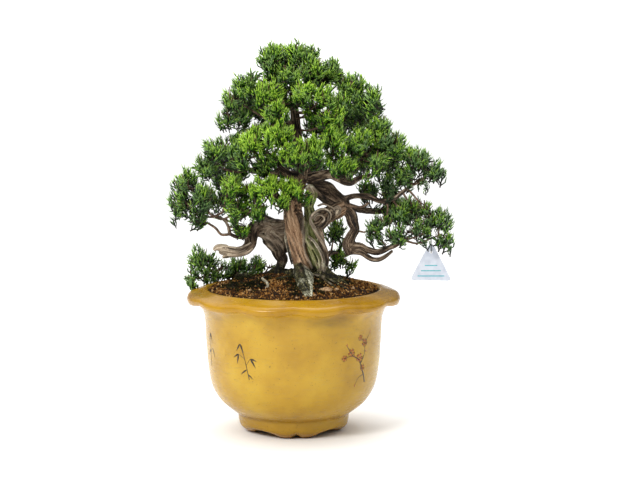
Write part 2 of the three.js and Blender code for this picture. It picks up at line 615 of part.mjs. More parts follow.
function wireBody(grow) {
  const points = WIRE_ROUTE.map(([x, y, z]) => [TAG_HOLE.x + x, TAG_HOLE.y + y, TAG_HOLE.z + z, WIRE_RADIUS]);
  return limbBody(points, WIRE_SIDES, grow);
}

// Soil

const SOIL_PROFILE = [
  { r: 0, z: POT_FLOOR },
  { r: 61, z: POT_FLOOR },
  { r: 81, z: 36 },
  { r: 102, z: 60 },
  { r: 113, z: 110 },
  { r: 119, z: 196 },
  ...SOIL_TOP_RADII.map((r) => ({ r, z: soilLevel(r), top: 1 })),
];

// Uneven height of the grains, between -1 and 1, the same wherever it is asked for the same place.
function grainRelief(r, angle) {
  const wave = 43758.5453 * Math.sin(12.9898 * r + 78.233 * angle);
  return 2 * (wave - Math.floor(wave)) - 1;
}

function soilPlace({ r, z, top = 0 }, angle) {
  if (!top) return { r: Math.max(0, r - FIT_GAP), z: z + FIT_GAP };
  if (r === 0) return { r, z };
  const wander = r < SOIL_TOP_RADII[0] ? SOIL_WANDER * grainRelief(r + 1, angle) : 0;
  return { r: r - FIT_GAP + wander, z: z + SOIL_GRAIN * grainRelief(r, angle) };
}

function soilBody(wood) {
  let soil = turnedBody(SOIL_PROFILE, evenAngles(SOIL_SEGMENTS), soilPlace);
  for (let number = 0; number < DRAIN_COUNT; number += 1) {
    const [x, y] = drainPlace(number);
    const side = SCREEN_SIDE + 2 * FIT_GAP;
    const recess = new THREE.BoxGeometry(side, side, 2 * (SCREEN_THICKNESS + 2 * FIT_GAP));
    recess.translate(x, y, POT_FLOOR);
    soil = soil.subtract(solid(recess));
  }
  return cleaned(largestLump(soil.subtract(wood)));
}

// Assembly

const POT_OCHRE = 0xc79a3a;
const SOIL_BROWN = 0x6b4226;
const BARK_BROWN = 0x7a5a44;
const SCREEN_BLACK = 0x24262a;
const TAG_WHITE = 0xe6e6f0;
const WIRE_DARK = 0x2d2b28;
const LEAF_GREENS = [0x4f8a2b, 0x3d7a2e, 0x2f6238];

addPiece('pot', geometryOf(potBody()), POT_OCHRE, 0.25);

for (let number = 0; number < DRAIN_COUNT; number += 1) {
  const [x, y] = drainPlace(number);
  const screen = addPiece(`drain_screen_${number + 1}`, geometryOf(screenBody()), SCREEN_BLACK, 0.6);
  screen.position.set(x, y, POT_FLOOR + FIT_GAP + SCREEN_THICKNESS / 2);
}

const trunk = union([...woodBodies(0), ...feedBodies(0)]);
const wireRoom = wireBody(FIT_GAP);
const trunkRoom = union([...woodBodies(FIT_GAP), ...feedBodies(FIT_GAP)]);
addPiece('trunk', geometryOf(cleaned(largestLump(trunk))), BARK_BROWN, 0.85);
addPiece('soil', geometryOf(soilBody(trunkRoom)), SOIL_BROWN, 0.95);

sprays.forEach((spray, place) => {
  const leafy = sprayBody(spray);
  const crossed = leafy.intersect(trunkRoom).volume() + leafy.intersect(wireRoom).volume() > 0;
  const fitted = crossed ? cleaned(largestLump(leafy.subtract(trunkRoom).subtract(wireRoom))) : leafy;
  addPiece(`spray_${spray.name}`, geometryOf(fitted), LEAF_GREENS[place % LEAF_GREENS.length], 0.7);
});

addPiece('tag', tagGeometry(), TAG_WHITE, 0.4);
addPiece('tag_wire', geometryOf(wireBody(0)), WIRE_DARK, 0.5, 0.3);

group.position.x = -CROWN_OFFSET;
group.updateMatrixWorld(true);

export default group;
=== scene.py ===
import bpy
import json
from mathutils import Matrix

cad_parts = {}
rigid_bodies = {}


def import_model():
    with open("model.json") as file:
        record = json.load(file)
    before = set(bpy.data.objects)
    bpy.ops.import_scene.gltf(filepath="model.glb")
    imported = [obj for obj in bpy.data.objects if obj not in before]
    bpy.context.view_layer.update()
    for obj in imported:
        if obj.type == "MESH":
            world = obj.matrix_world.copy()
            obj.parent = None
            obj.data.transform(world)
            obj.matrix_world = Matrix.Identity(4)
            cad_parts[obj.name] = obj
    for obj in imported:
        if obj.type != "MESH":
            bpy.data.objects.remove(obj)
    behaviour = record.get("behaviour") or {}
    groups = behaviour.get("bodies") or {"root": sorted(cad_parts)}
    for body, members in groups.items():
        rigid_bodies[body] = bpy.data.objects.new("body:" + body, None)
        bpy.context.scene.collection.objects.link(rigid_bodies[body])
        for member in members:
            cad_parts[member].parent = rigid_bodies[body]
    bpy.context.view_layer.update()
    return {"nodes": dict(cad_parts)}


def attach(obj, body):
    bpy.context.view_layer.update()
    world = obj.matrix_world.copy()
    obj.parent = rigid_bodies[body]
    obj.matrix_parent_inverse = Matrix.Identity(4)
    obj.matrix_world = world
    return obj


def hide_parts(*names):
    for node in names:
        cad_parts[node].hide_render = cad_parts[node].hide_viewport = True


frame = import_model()

# %% Libraries and units
import json
import math
import random

import bmesh
import bpy
import numpy as np
from mathutils import Vector, noise
from mathutils.kdtree import KDTree

MILLIMETRE = 0.001
POT_AXIS = np.array([-27.0, 0.0, 0.0])
LIP_TOP = 205.5
SOIL_CROWN = 223.5
SOIL_FALL = 19.5
SOIL_RIM = 122.6
THIRD_TURNS = (0, 2 * math.pi / 3, 4 * math.pi / 3)


def to_frame(points):
    """Points in millimetres from the foot of the pot's axis, as metres in the frame."""
    return (np.asarray(points, float)[..., :3] + POT_AXIS) * MILLIMETRE


def soil_level(x, y):
    """Height of the mounded soil at a place round the pot's axis, in millimetres."""
    return SOIL_CROWN - SOIL_FALL * (x**2 + y**2) / SOIL_RIM**2


print("the soil stands", SOIL_CROWN - LIP_TOP, "mm above the lip at the trunk")

# %% [markdown]
# A few small helpers carry the whole script. Colours are written as the sRGB hex values that a painter would
# pick, and shaders calculate in linear light, so one function turns them. One function adds a node, to a
# material or to a Geometry Nodes tree, with its settings and its links in one go. Geometry Nodes make all
# that repeats, and their result is turned into a plain mesh, which is what a finished piece should be.
# %% Colour and node helpers
def linear(hex_colour):
    """An sRGB hex colour as linear red, green, blue and alpha."""
    shares = [int(hex_colour[start:start + 2], 16) / 255 for start in (1, 3, 5)]
    curve = [s / 12.92 if s <= 0.04045 else ((s + 0.055) / 1.055) ** 2.4 for s in shares]
    return (*curve, 1.0)


def feed(tree, node, sockets):
    """Feeds inputs of a node: an output socket is linked to its input, and any other value is set on it."""
    for key, value in sockets.items():
        if isinstance(value, bpy.types.NodeSocket):
            tree.links.new(value, node.inputs[key])
        else:
            node.inputs[key].default_value = value


def set_stops(ramp, stops):
    """Sets the stops of a Color Ramp: (position, hex colour) pairs, in order."""
    while len(ramp.elements) < len(stops):
        ramp.elements.new(0.5)
    for element, (position, colour) in zip(ramp.elements, stops):
        element.position = position
        element.color = linear(colour)


def add_node(tree, kind, sockets=None, stops=(), **settings):
    """Adds a node with its settings, or a ramp's stops, feeds its inputs and returns its outputs."""
    made = tree.nodes.new(kind)
    for name, value in settings.items():
        setattr(made, name, value)
    if stops:
        set_stops(made.color_ramp, stops)
    feed(tree, made, sockets or {})
    return made.outputs


def new_material(name):
    """A material with nodes, as the material, its tree and its Principled shader."""
    material = bpy.data.materials.new(name)
    material.use_nodes = True
    return material, material.node_tree, material.node_tree.nodes["Principled BSDF"]


print("linear value of a mid grey:", round(linear("#808080")[0], 3))

# %% Mesh helpers
def joined(shapes):
    """All points in one array and all faces in one list, for several (points, faces) shapes."""
    faces, start = [], 0
    for points, own_faces in shapes:
        faces += [tuple(start + corner for corner in face) for face in own_faces]
        start += len(points)
    return np.vstack([points for points, _ in shapes]), faces


def mesh_piece(name, points, faces, material, smooth=True, edges=()):
    """A new object at the origin from points in millimetres round the pot's axis."""
    mesh = bpy.data.meshes.new(name)
    mesh.from_pydata(to_frame(points).tolist(), list(edges), faces)
    mesh.update()
    mesh.polygons.foreach_set("use_smooth", [smooth] * len(mesh.polygons))
    mesh.materials.append(material)
    piece = bpy.data.objects.new(name, mesh)
    bpy.context.scene.collection.objects.link(piece)
    return piece


def store(piece, name, kind, values):
    """Keeps one value a vertex under a name that node trees and materials can read."""
    field = {"FLOAT": "value", "FLOAT_VECTOR": "vector", "FLOAT_COLOR": "color"}[kind]
    attribute = piece.data.attributes.new(name, kind, "POINT")
    attribute.data.foreach_set(field, np.asarray(values, np.float32).ravel())


def finished_mesh(piece):
    """Turns what the modifiers make into a plain mesh and removes the modifiers."""
    depsgraph = bpy.context.evaluated_depsgraph_get()
    mesh = bpy.data.meshes.new_from_object(piece.evaluated_get(depsgraph), depsgraph=depsgraph)
    rough = piece.data
    piece.modifiers.clear()
    piece.data = mesh
    bpy.data.meshes.remove(rough)


def triangles(piece):
    return sum(len(polygon.vertices) - 2 for polygon in piece.data.polygons)


def dress(piece, slot, *nodes):
    """A finished piece: it rides with the tree and stands for these solids, which are hidden. The slot is not
    used.
    """
    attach(piece, "root")
    if nodes:
        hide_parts(*nodes)
    print(piece.name, "has", triangles(piece), "triangles")


def kind_collection(name, pieces):
    """Keeps the shapes that a tree spreads in a collection that isn't in the scene."""
    collection = bpy.data.collections.new(name)
    for piece in pieces:
        bpy.context.scene.collection.objects.unlink(piece)
        collection.objects.link(piece)
    return collection


def remove_kinds(collection):
    """Removes such a collection and its shapes when they have been spread."""
    for piece in list(collection.objects):
        bpy.data.objects.remove(piece)
    bpy.data.collections.remove(collection)


print("helpers are ready")

# %% Geometry Nodes helpers
def new_tree(name, sockets):
    """A Geometry Nodes tree with a geometry going in and out and named inputs {name: (type, value)}."""
    tree = bpy.data.node_groups.new(name, "GeometryNodeTree")
    tree.interface.new_socket("Geometry", in_out="INPUT", socket_type="NodeSocketGeometry")
    tree.interface.new_socket("Geometry", in_out="OUTPUT", socket_type="NodeSocketGeometry")
    for label, (kind, value) in sockets.items():
        socket = tree.interface.new_socket(label, in_out="INPUT", socket_type="NodeSocket" + kind)
        socket.default_value = value
    return tree, tree.nodes.new("NodeGroupInput").outputs


def end_tree(tree, geometry, material):
    """Ends a tree the same way each time: real geometry in place of instances, and its material."""
    real = add_node(tree, "GeometryNodeRealizeInstances", {"Geometry": geometry})
    painted = add_node(tree, "GeometryNodeSetMaterial", {"Geometry": real[0], "Material": material})
    add_node(tree, "NodeGroupOutput", {0: painted[0]})


def grow(piece, tree, **sizes):
    """Runs a tree on a piece, with its named inputs, and keeps the result as a plain mesh."""
    modifier = piece.modifiers.new(tree.name, "NODES")
    modifier.node_group = tree
    for socket in tree.interface.items_tree:
        if socket.in_out == "INPUT" and socket.name in sizes:
            modifier[socket.identifier] = sizes[socket.name]
    finished_mesh(piece)


print("trees end in Realize Instances and Set Material")

# %% [markdown]
# Two trees strew small shapes over a surface: branchlets on the pads, and grains and moss on the soil. What
# they share is kept here. The points keep a least distance from each other, where an attribute of the
# surface lets them stand. Each point then gets one of a few shapes, picked at random, and a random shade of
# its own that its material can read.
# %% Steps that two trees share
PICK_SEED = 4


def spread_points(tree, given, share, densest):
    """Points on the surface, no nearer to each other than Spacing, as dense as the named share lets them."""
    where = add_node(tree, "GeometryNodeInputNamedAttribute", {"Name": share})
    spread = add_node(tree, "GeometryNodeDistributePointsOnFaces", {
        "Mesh": given["Geometry"], "Distance Min": given["Spacing"], "Density Max": densest,
        "Density Factor": where[0], "Seed": given["Seed"]}, distribute_method="POISSON")
    return spread["Points"]


def set_shapes(tree, given, points, count, rotation, size, shade_seed):
    """One of the tree's few shapes on each point, turned and sized, with a shade from 0 to 1."""
    which = add_node(tree, "FunctionNodeRandomValue", {4: 0, 5: count - 1, "Seed": PICK_SEED},
                     data_type="INT")
    source = add_node(tree, "GeometryNodeCollectionInfo", {
        "Collection": given["Shapes"], "Separate Children": True, "Reset Children": True})
    placed = add_node(tree, "GeometryNodeInstanceOnPoints", {
        "Points": points, "Instance": source[0], "Pick Instance": True,
        "Instance Index": which[2], "Rotation": rotation, "Scale": size})
    own = add_node(tree, "FunctionNodeRandomValue", {2: 0.0, 3: 1.0, "Seed": shade_seed})
    return add_node(tree, "GeometryNodeStoreNamedAttribute",
                    {"Geometry": placed[0], "Name": "shade", "Value": own[1]}, domain="INSTANCE")[0]


print("shapes are picked with seed", PICK_SEED)

# %% [markdown]
# The picture was taken from about as high as the tree's top, two and a half metres away, with a long lens
# that looks slightly down. The distance and height follow from how open the circles of the lip and the foot
# look. A long lens keeps the pot's sides upright. The image is taken as 625 by 477 pixels.
# %% Camera
PHOTO_WIDTH = 625
FOCAL_LENGTH_IN_PIXELS = 1706
SENSOR_WIDTH = 36
CAMERA_PLACE = (0, -2.420, 0.553)
CAMERA_TILT = 6.53
CAMERA_REACH = 100

camera_data = bpy.data.cameras.new("studio_camera")
camera_data.sensor_width = SENSOR_WIDTH
camera_data.lens = SENSOR_WIDTH * FOCAL_LENGTH_IN_PIXELS / PHOTO_WIDTH
camera_data.clip_end = CAMERA_REACH
camera = bpy.data.objects.new("studio_camera", camera_data)
camera.location = CAMERA_PLACE
camera.rotation_euler = (math.radians(90 - CAMERA_TILT), 0, 0)
bpy.context.scene.collection.objects.link(camera)
bpy.context.scene.camera = camera
print("lens", round(camera_data.lens, 1), "mm")

# %% [markdown]
# A product photograph on white needs a pale floor and big soft lights. A soft box at the left front gives
# the bright streaks on the lip, a weak one at the right balances it, and one above lifts the tops of the
# foliage. The sky fills the shadows between the leaves. It is brightest high up at the left, behind the
# tree. Low down it is dark, as if black boards stood round the table, so that the glaze and the undersides
# of the pads keep their depth. Only a band at floor level is bright, which the camera sees as the backdrop.
# The photograph is a plain sRGB picture with clean whites, so the picture is shown that way too, with no
# film curve.
# %% Floor
FLOOR_HALF = 20.0

white_floor, floor_tree, floor_shader = new_material("matt_white_floor")
feed(floor_tree, floor_shader, {"Base Color": linear("#fdfdfc"), "Roughness": 0.9})
floor_corners = [(x * FLOOR_HALF, y * FLOOR_HALF, 0) for x, y in ((-1, -1), (1, -1), (1, 1), (-1, 1))]
floor_mesh = bpy.data.meshes.new("floor")
floor_mesh.from_pydata(floor_corners, [], [(0, 1, 2, 3)])
floor_mesh.materials.append(white_floor)
floor = bpy.data.objects.new("floor", floor_mesh)
bpy.context.scene.collection.objects.link(floor)
print("the floor is", 2 * FLOOR_HALF, "m wide")

# %% Sky
BRIGHT_SIDE = (-0.6, 0.65, 0.45)
SKY_DIM = 0.25
SKY_BRIGHT = 1.95
BOARD_DARKNESS = 0.85
BACKDROP_BRIGHT = 1.4
# How far up a ray looks, from 0 to 1, where the boards end and where the backdrop ends
BOARDS_END = (0.35, 0.65)
BACKDROP_ENDS = (0.03, 0.10)

world = bpy.data.worlds.new("studio_sky")
world.use_nodes = True
sky = world.node_tree
ray = add_node(sky, "ShaderNodeTexCoord")["Generated"]
upward = add_node(sky, "ShaderNodeSeparateXYZ", {0: ray})["Z"]
facing = add_node(sky, "ShaderNodeVectorMath", {0: ray, 1: BRIGHT_SIDE}, operation="DOT_PRODUCT")
strength = add_node(sky, "ShaderNodeMapRange", {
    "Value": facing["Value"], "From Min": -1.0, "From Max": 1.0,
    "To Min": SKY_DIM, "To Max": SKY_BRIGHT})[0]
kept = add_node(sky, "ShaderNodeMapRange", {
    "Value": upward, "From Min": BOARDS_END[0], "From Max": BOARDS_END[1], "To Min": 1 - BOARD_DARKNESS})
strength = add_node(sky, "ShaderNodeMath", {0: strength, 1: kept[0]}, operation="MULTIPLY")[0]
strength = add_node(sky, "ShaderNodeMapRange", {
    "Value": upward, "From Min": BACKDROP_ENDS[0], "From Max": BACKDROP_ENDS[1],
    "To Min": BACKDROP_BRIGHT, "To Max": strength})[0]
feed(sky, sky.nodes["Background"], {"Strength": strength, "Color": linear("#ffffff")})
bpy.context.scene.world = world
print("the sky's strength runs from", SKY_DIM, "to", SKY_BRIGHT)

# %% Lights
# Place in metres, width in metres and power in watts
SOFT_BOXES = {
    "key": ((-1.3, -1.9, 1.7), 0.8, 45),
    "fill": ((1.7, -1.5, 1.3), 0.8, 3),
    "top": ((0.1, 0.3, 2.3), 1.4, 24),
}
LOOK_AT = Vector((0, 0, 0.28))

for name, (place, size, power) in SOFT_BOXES.items():
    light_data = bpy.data.lights.new("soft_box_" + name, "AREA")
    light_data.size = size
    light_data.energy = power
    light = bpy.data.objects.new("soft_box_" + name, light_data)
    light.location = place
    light.rotation_euler = (LOOK_AT - Vector(place)).to_track_quat("-Z", "Y").to_euler()
    bpy.context.scene.collection.objects.link(light)
bpy.context.scene.view_settings.view_transform = "Standard"
print("soft boxes:", ", ".join(SOFT_BOXES))

# %% [markdown]
# The pot is stoneware under an ochre lead-type glaze, a warm honey yellow that breaks darker where it runs
# thin. Stoneware glaze is glassy, so its IOR is near 1.5 and its roughness low, but this one is old and
# handled, and shines softly. The mottling has three scales: broad patches of five or six centimetres, short
# sideways smears from the wheel, and iron specks of a millimetre or two. The lip got more glaze than the
# belly, so it is a deeper amber. A dark line of painted shade lies in the crease above the foot, the wall
# turns browner towards the bottom, and the toes are burnt brown where they stood on the kiln's shelf. A noise
# in the bump makes the wall uneven, as a hand-made wall is.
# %% Ochre glaze
GLAZE_IOR = 1.5
PATCH_SIZE = 55 * MILLIMETRE
SMEAR_SIZE = 9 * MILLIMETRE
SPECK_SIZE = 2.6 * MILLIMETRE
WHEEL_STRETCH = 6
BELLY_OCHRES = [(0.3, "#a07a20"), (0.5, "#b08a26"), (0.7, "#bb982f")]
LIP_AMBERS = [(0.3, "#8a610a"), (0.55, "#a67b10"), (0.75, "#b0881a")]
# How much of the foot's brown shows at a height, which is given in tenths of a metre. It grows towards the
# bottom, and is full in the crease above the foot, where it is painted shade.
FOOT_BROWN_AND_CREASE_SHADE = [(0.0, "#c8c8c8"), (0.12, "#b4b4b4"), (0.23, "#a0a0a0"), (0.28, "#ffffff"), (0.34, "#8c8c8c"),
               (0.6, "#6e6e6e"), (1.0, "#000000")]
# A darker patch under the lip at the right front: its middle in metres, and how many times its reach goes
# into a metre
UNDER_LIP_PATCH_PLACE = (0.028, -0.120, 0.176)
UNDER_LIP_PATCH_SCALE = (22, 22, 75)


def ochre_glaze():
    material, tree, shader = new_material("ochre_stoneware_glaze")
    place = add_node(tree, "ShaderNodeTexCoord")["Object"]
    height = add_node(tree, "ShaderNodeSeparateXYZ", {0: place})["Z"]
    wheel = add_node(tree, "ShaderNodeMapping", {"Vector": place, "Scale": (1, 1, WHEEL_STRETCH)})[0]
    patches, smears, specks = [
        add_node(tree, "ShaderNodeTexNoise",
                 {"Vector": vector, "Scale": scale, "Detail": detail, "Roughness": roughness})["Fac"]
        for vector, scale, detail, roughness in (
            (place, 1 / PATCH_SIZE, 5, 0.6), (wheel, 1 / SMEAR_SIZE / 2, 6, 0.7),
            (place, 1 / SPECK_SIZE, 2, 0.6))]
    belly, amber = [add_node(tree, "ShaderNodeValToRGB", {"Fac": patches}, stops=stops)[0]
                    for stops in (BELLY_OCHRES, LIP_AMBERS)]
    tenths = add_node(tree, "ShaderNodeMath", {0: height, 1: 10.0}, operation="MULTIPLY")[0]
    # Painted shade: the foot's brown is full in a dark line in the crease above the foot
    foot_brown_and_crease_shade = add_node(tree, "ShaderNodeValToRGB", {"Fac": tenths}, stops=FOOT_BROWN_AND_CREASE_SHADE)[0]
    # A darker patch under the lip at the right front, fading out from its middle
    off = add_node(tree, "ShaderNodeVectorMath", {0: place, 1: UNDER_LIP_PATCH_PLACE}, operation="SUBTRACT")[0]
    off = add_node(tree, "ShaderNodeVectorMath", {0: off, 1: UNDER_LIP_PATCH_SCALE}, operation="MULTIPLY")[0]
    off = add_node(tree, "ShaderNodeVectorMath", {0: off}, operation="LENGTH")["Value"]
    # What each mask reads, where it begins, where it is full and how much colour it lets through
    at_lip, at_toes, under_lip_patch, smoke, iron = [
        add_node(tree, "ShaderNodeMapRange",
                 {"Value": value, "From Min": begins, "From Max": full, "To Max": most})[0]
        for value, begins, full, most in (
            (height, 0.174, 0.190, 1.0), (height, 0.011, 0.002, 0.6), (off, 1.0, 0.0, 1.3),
            (smears, 0.54, 0.78, 0.42), (specks, 0.66, 0.72, 0.6))]
    under_lip_patch = add_node(tree, "ShaderNodeMath", {0: under_lip_patch, 1: smears}, operation="MULTIPLY")[0]
    body = belly
    for share, colour in ((at_lip, amber), (foot_brown_and_crease_shade, linear("#8a6412")), (at_toes, linear("#85500f")),
                          (under_lip_patch, linear("#5a4212")), (smoke, linear("#634514")), (iron, linear("#3f2a10"))):
        body = add_node(tree, "ShaderNodeMix", {0: share, 6: body, 7: colour}, data_type="RGBA")[2]
    rough = add_node(tree, "ShaderNodeMapRange", {"Value": smears, "To Min": 0.16, "To Max": 0.36})
    dents = add_node(tree, "ShaderNodeBump", {"Height": patches, "Strength": 0.35, "Distance": 0.004})
    pits = add_node(tree, "ShaderNodeBump", {"Height": specks, "Strength": 0.05, "Distance": 0.0006,
                                             "Normal": dents[0]})
    feed(tree, shader, {"Base Color": body, "Roughness": rough[0], "IOR": GLAZE_IOR,
                        "Specular IOR Level": 0.25, "Coat Weight": 0.1, "Coat Roughness": 0.1,
                        "Normal": pits[0]})
    return material


glaze = ochre_glaze()
print("glaze nodes:", len(glaze.node_tree.nodes))

# %% [markdown]
# The pot is one thrown body: a round belly, a broad lip that was pushed into twelve soft lobes while the clay
# was wet, and a foot ring that was cut into four feet, each with two toes like a cloud. A thrown pot
# is a profile turned round an axis, so the mesh is made that way: the profile is a smooth curve through a
# few real sizes, and at each angle the lobes move the lip and the cut moves the foot's lower edge.
# %% Pot sizes
LIP_RADIUS = 152
LIP_LOBES = 12
LOBE_REACH = 2.5
LOBE_DROP = 4.5
CREASE_SOFTNESS = 0.2
FOOT_COUNT = 4
FOOT_TURN = 3.5
FOOT_EDGE_ANGLES = [0, 2.2, 5, 7.5, 10, 16.5, 20, 24, 28, 33, 39, 45]
FOOT_EDGE_LIFTS = [4.6, 3.4, 1.6, 0.4, 0, 0, 0.7, 2.2, 3.8, 5.3, 6.6, 6.9]
TOE_NOTCH = (1.6, 1.2)
POT_FLOOR = 26
DRAIN_RADIUS = 8
DRAIN_CIRCLE = 28
DRAIN_COUNT = 3
POT_ANGLES = 192
# How far the wall strays, how high and how wide its waves are, and the radii between which they set in
WALL_STRAY = 0.9
STRAY_HEIGHT = 60
STRAY_WAVES = 1.6
STRAY_FROM = 66
STRAY_OVER = 20

# Radius, height, how much a point stands out with the lip's lobes, how much it hangs down with them, and
# how much it follows the foot's cut edge. Each run is smooth, and there is an edge where two runs meet.
POT_RUNS = [
    [(0, 14, 0, 0, 0), (51, 14, 0, 0, 0)],
    [(51, 14, 0, 0, 0), (56, 0, 0, 0, 1)],
    [(56, 0, 0, 0, 1), (64.5, 0, 0, 0, 1)],
    [(64.5, 0, 0, 0, 1), (72, 3.8, 0, 0, 0.8), (77.5, 9, 0, 0, 0.4), (79.4, 17, 0, 0, 0.1),
     (80, 25, 0, 0, 0)],
    [(80, 25, 0, 0, 0), (90, 32.5, 0, 0, 0), (104.5, 45, 0, 0, 0), (117, 66, 0, 0, 0), (123, 97, 0, 0, 0),
     (125, 128, 0, 0, 0), (128.4, 170, 0.1, 0, 0), (LIP_RADIUS - 15, 187, 0.6, 0.8, 0),
     (LIP_RADIUS - 1.5, 190.5, 1, 1, 0), (LIP_RADIUS, 195, 1, 0.8, 0), (LIP_RADIUS - 3.5, 199.5, 1, 0.6, 0),
     (136, 203.2, 0.3, 0.2, 0), (125, LIP_TOP, 0, 0, 0), (123, 203.5, 0, 0, 0), (119.5, 196, 0, 0, 0)],
    [(119.5, 196, 0, 0, 0), (114, 110, 0, 0, 0), (103, 60, 0, 0, 0), (82, 36, 0, 0, 0),
     (62, POT_FLOOR, 0, 0, 0)],
    [(62, POT_FLOOR, 0, 0, 0), (0, POT_FLOOR, 0, 0, 0)],
]
RUN_SPACING = [18, 5, 3, 2.5, 3.2, 14, 20]
print("the lip is", 2 * LIP_RADIUS, "mm across from crease to crease")

# %% Smooth paths
def smooth_path(points, spacing):
    """A centripetal Catmull-Rom path through points, with a step about every spacing. The first three
    values of a point are its place, and the others follow."""
    given = np.asarray(points, float)
    padded = np.vstack([2 * given[0] - given[1], given, 2 * given[-1] - given[-2]])
    knots = np.sqrt(np.maximum(np.linalg.norm(np.diff(padded[:, :3], axis=0), axis=1), 1e-6))
    steps = []
    for span in range(1, len(padded) - 2):
        before, start, end, after = padded[span - 1:span + 3]
        lead, middle, trail = knots[span - 1:span + 2]
        out = middle * ((start - before) / lead - (end - before) / (lead + middle) + (end - start) / middle)
        into = middle * ((end - start) / middle - (after - start) / (middle + trail) + (after - end) / trail)
        count = max(1, round(np.linalg.norm((end - start)[:3]) / spacing))
        t = (np.arange(count) / count)[:, None]
        steps.append((2 * t**3 - 3 * t**2 + 1) * start + (t**3 - 2 * t**2 + t) * out
                     + (3 * t**2 - 2 * t**3) * end + (t**3 - t**2) * into)
    return np.vstack([*steps, given[-1:]])


arc = smooth_path([(1, 0, 0), (0, 1, 0), (-1, 0, 0)], 0.1)
print("a half circle through three points gets", len(arc), "steps")

# %% Pot body
def pot_profile():
    stretches = []
    for run, spacing in zip(POT_RUNS, RUN_SPACING):
        flat = [(r, 0, z, lobe, drop, foot) for r, z, lobe, drop, foot in run]
        stretches.append(smooth_path(flat, spacing)[:-1])
    return np.vstack([*stretches, [(0, 0, POT_FLOOR, 0, 0, 0)]])


def from_foot(angle):
    """Degrees from the middle of the nearest foot, at an angle from the front."""
    pitch = 360 / FOOT_COUNT
    return abs((math.degrees(angle) - FOOT_TURN + pitch / 2) % pitch - pitch / 2)


def pot_surface(profile, angle):
    """Points of the pot at one angle from the front. The wall strays by under a millimetre."""
    r, z, lobe, drop, foot = profile[:, [0, 2, 3, 4, 5]].T
    shape = math.hypot(math.sin(angle * LIP_LOBES / 2), CREASE_SOFTNESS) - CREASE_SOFTNESS
    width, depth = TOE_NOTCH
    notch = depth * math.exp(-(from_foot(angle) / width) ** 2)
    waves = (math.sin(angle) * STRAY_WAVES, math.cos(angle) * STRAY_WAVES)
    stray = [WALL_STRAY * noise.noise((*waves, height / STRAY_HEIGHT)) for height in z]
    swell = np.minimum(np.maximum(r - STRAY_FROM, 0) / STRAY_OVER, 1) * np.array(stray)
    r = r + lobe * LOBE_REACH * shape + swell - notch * foot
    z = z - drop * LOBE_DROP * shape + foot * np.interp(from_foot(angle), FOOT_EDGE_ANGLES, FOOT_EDGE_LIFTS)
    return np.stack([r * math.sin(angle), -r * math.cos(angle), z], axis=1)


profile = pot_profile()
pot_angles = [2 * math.pi * turn / POT_ANGLES for turn in range(POT_ANGLES)]
rings = np.array([pot_surface(profile, angle) for angle in pot_angles])
print("profile points:", len(profile))

# %% Pot mesh
def turned_faces(turns, length):
    """Faces of a body turned from a profile that starts and ends on the axis. The two poles are the last
    two points."""
    inner = length - 2
    low, high = turns * inner, turns * inner + 1
    faces = []
    for turn in range(turns):
        here, there = turn * inner, (turn + 1) % turns * inner
        faces.append((low, there, here))
        faces.append((high, here + inner - 1, there + inner - 1))
        faces += [(here + step, there + step, there + step + 1, here + step + 1)
                  for step in range(inner - 1)]
    return faces


inner_points = rings[:, 1:-1].reshape(-1, 3)
pot_points = np.vstack([inner_points, rings[0, 0], rings[0, -1]])
pot = mesh_piece("glazed_pot", pot_points, turned_faces(POT_ANGLES, len(profile)), glaze)
print("pot wall made from", len(pot_points), "points")

# %% Drainage holes
DRILL_SIDES = 24


def drill(number):
    """A cylinder as long as the floor is thick and more, to cut one hole."""
    angle = 2 * math.pi * number / DRAIN_COUNT
    place = np.array([DRAIN_CIRCLE * math.sin(angle), -DRAIN_CIRCLE * math.cos(angle), POT_FLOOR / 2])
    turns = [2 * math.pi * side / DRILL_SIDES for side in range(DRILL_SIDES)]
    ring = [(DRAIN_RADIUS * math.cos(turn), DRAIN_RADIUS * math.sin(turn)) for turn in turns]
    points = [place + (x, y, z) for z in (-POT_FLOOR, POT_FLOOR) for x, y in ring]
    faces = [(side, (side + 1) % DRILL_SIDES, DRILL_SIDES + (side + 1) % DRILL_SIDES, DRILL_SIDES + side)
             for side in range(DRILL_SIDES)]
    faces += [tuple(reversed(range(DRILL_SIDES))), tuple(range(DRILL_SIDES, 2 * DRILL_SIDES))]
    return mesh_piece(f"drill_{number}", points, faces, glaze)


drills = [drill(number) for number in range(DRAIN_COUNT)]
for tool in drills:
    cut = pot.modifiers.new(tool.name, "BOOLEAN")
    cut.operation = "DIFFERENCE"
    cut.object = tool
finished_mesh(pot)
for tool in drills:
    bpy.data.objects.remove(tool)
dress(pot, "pot_glaze", "pot")

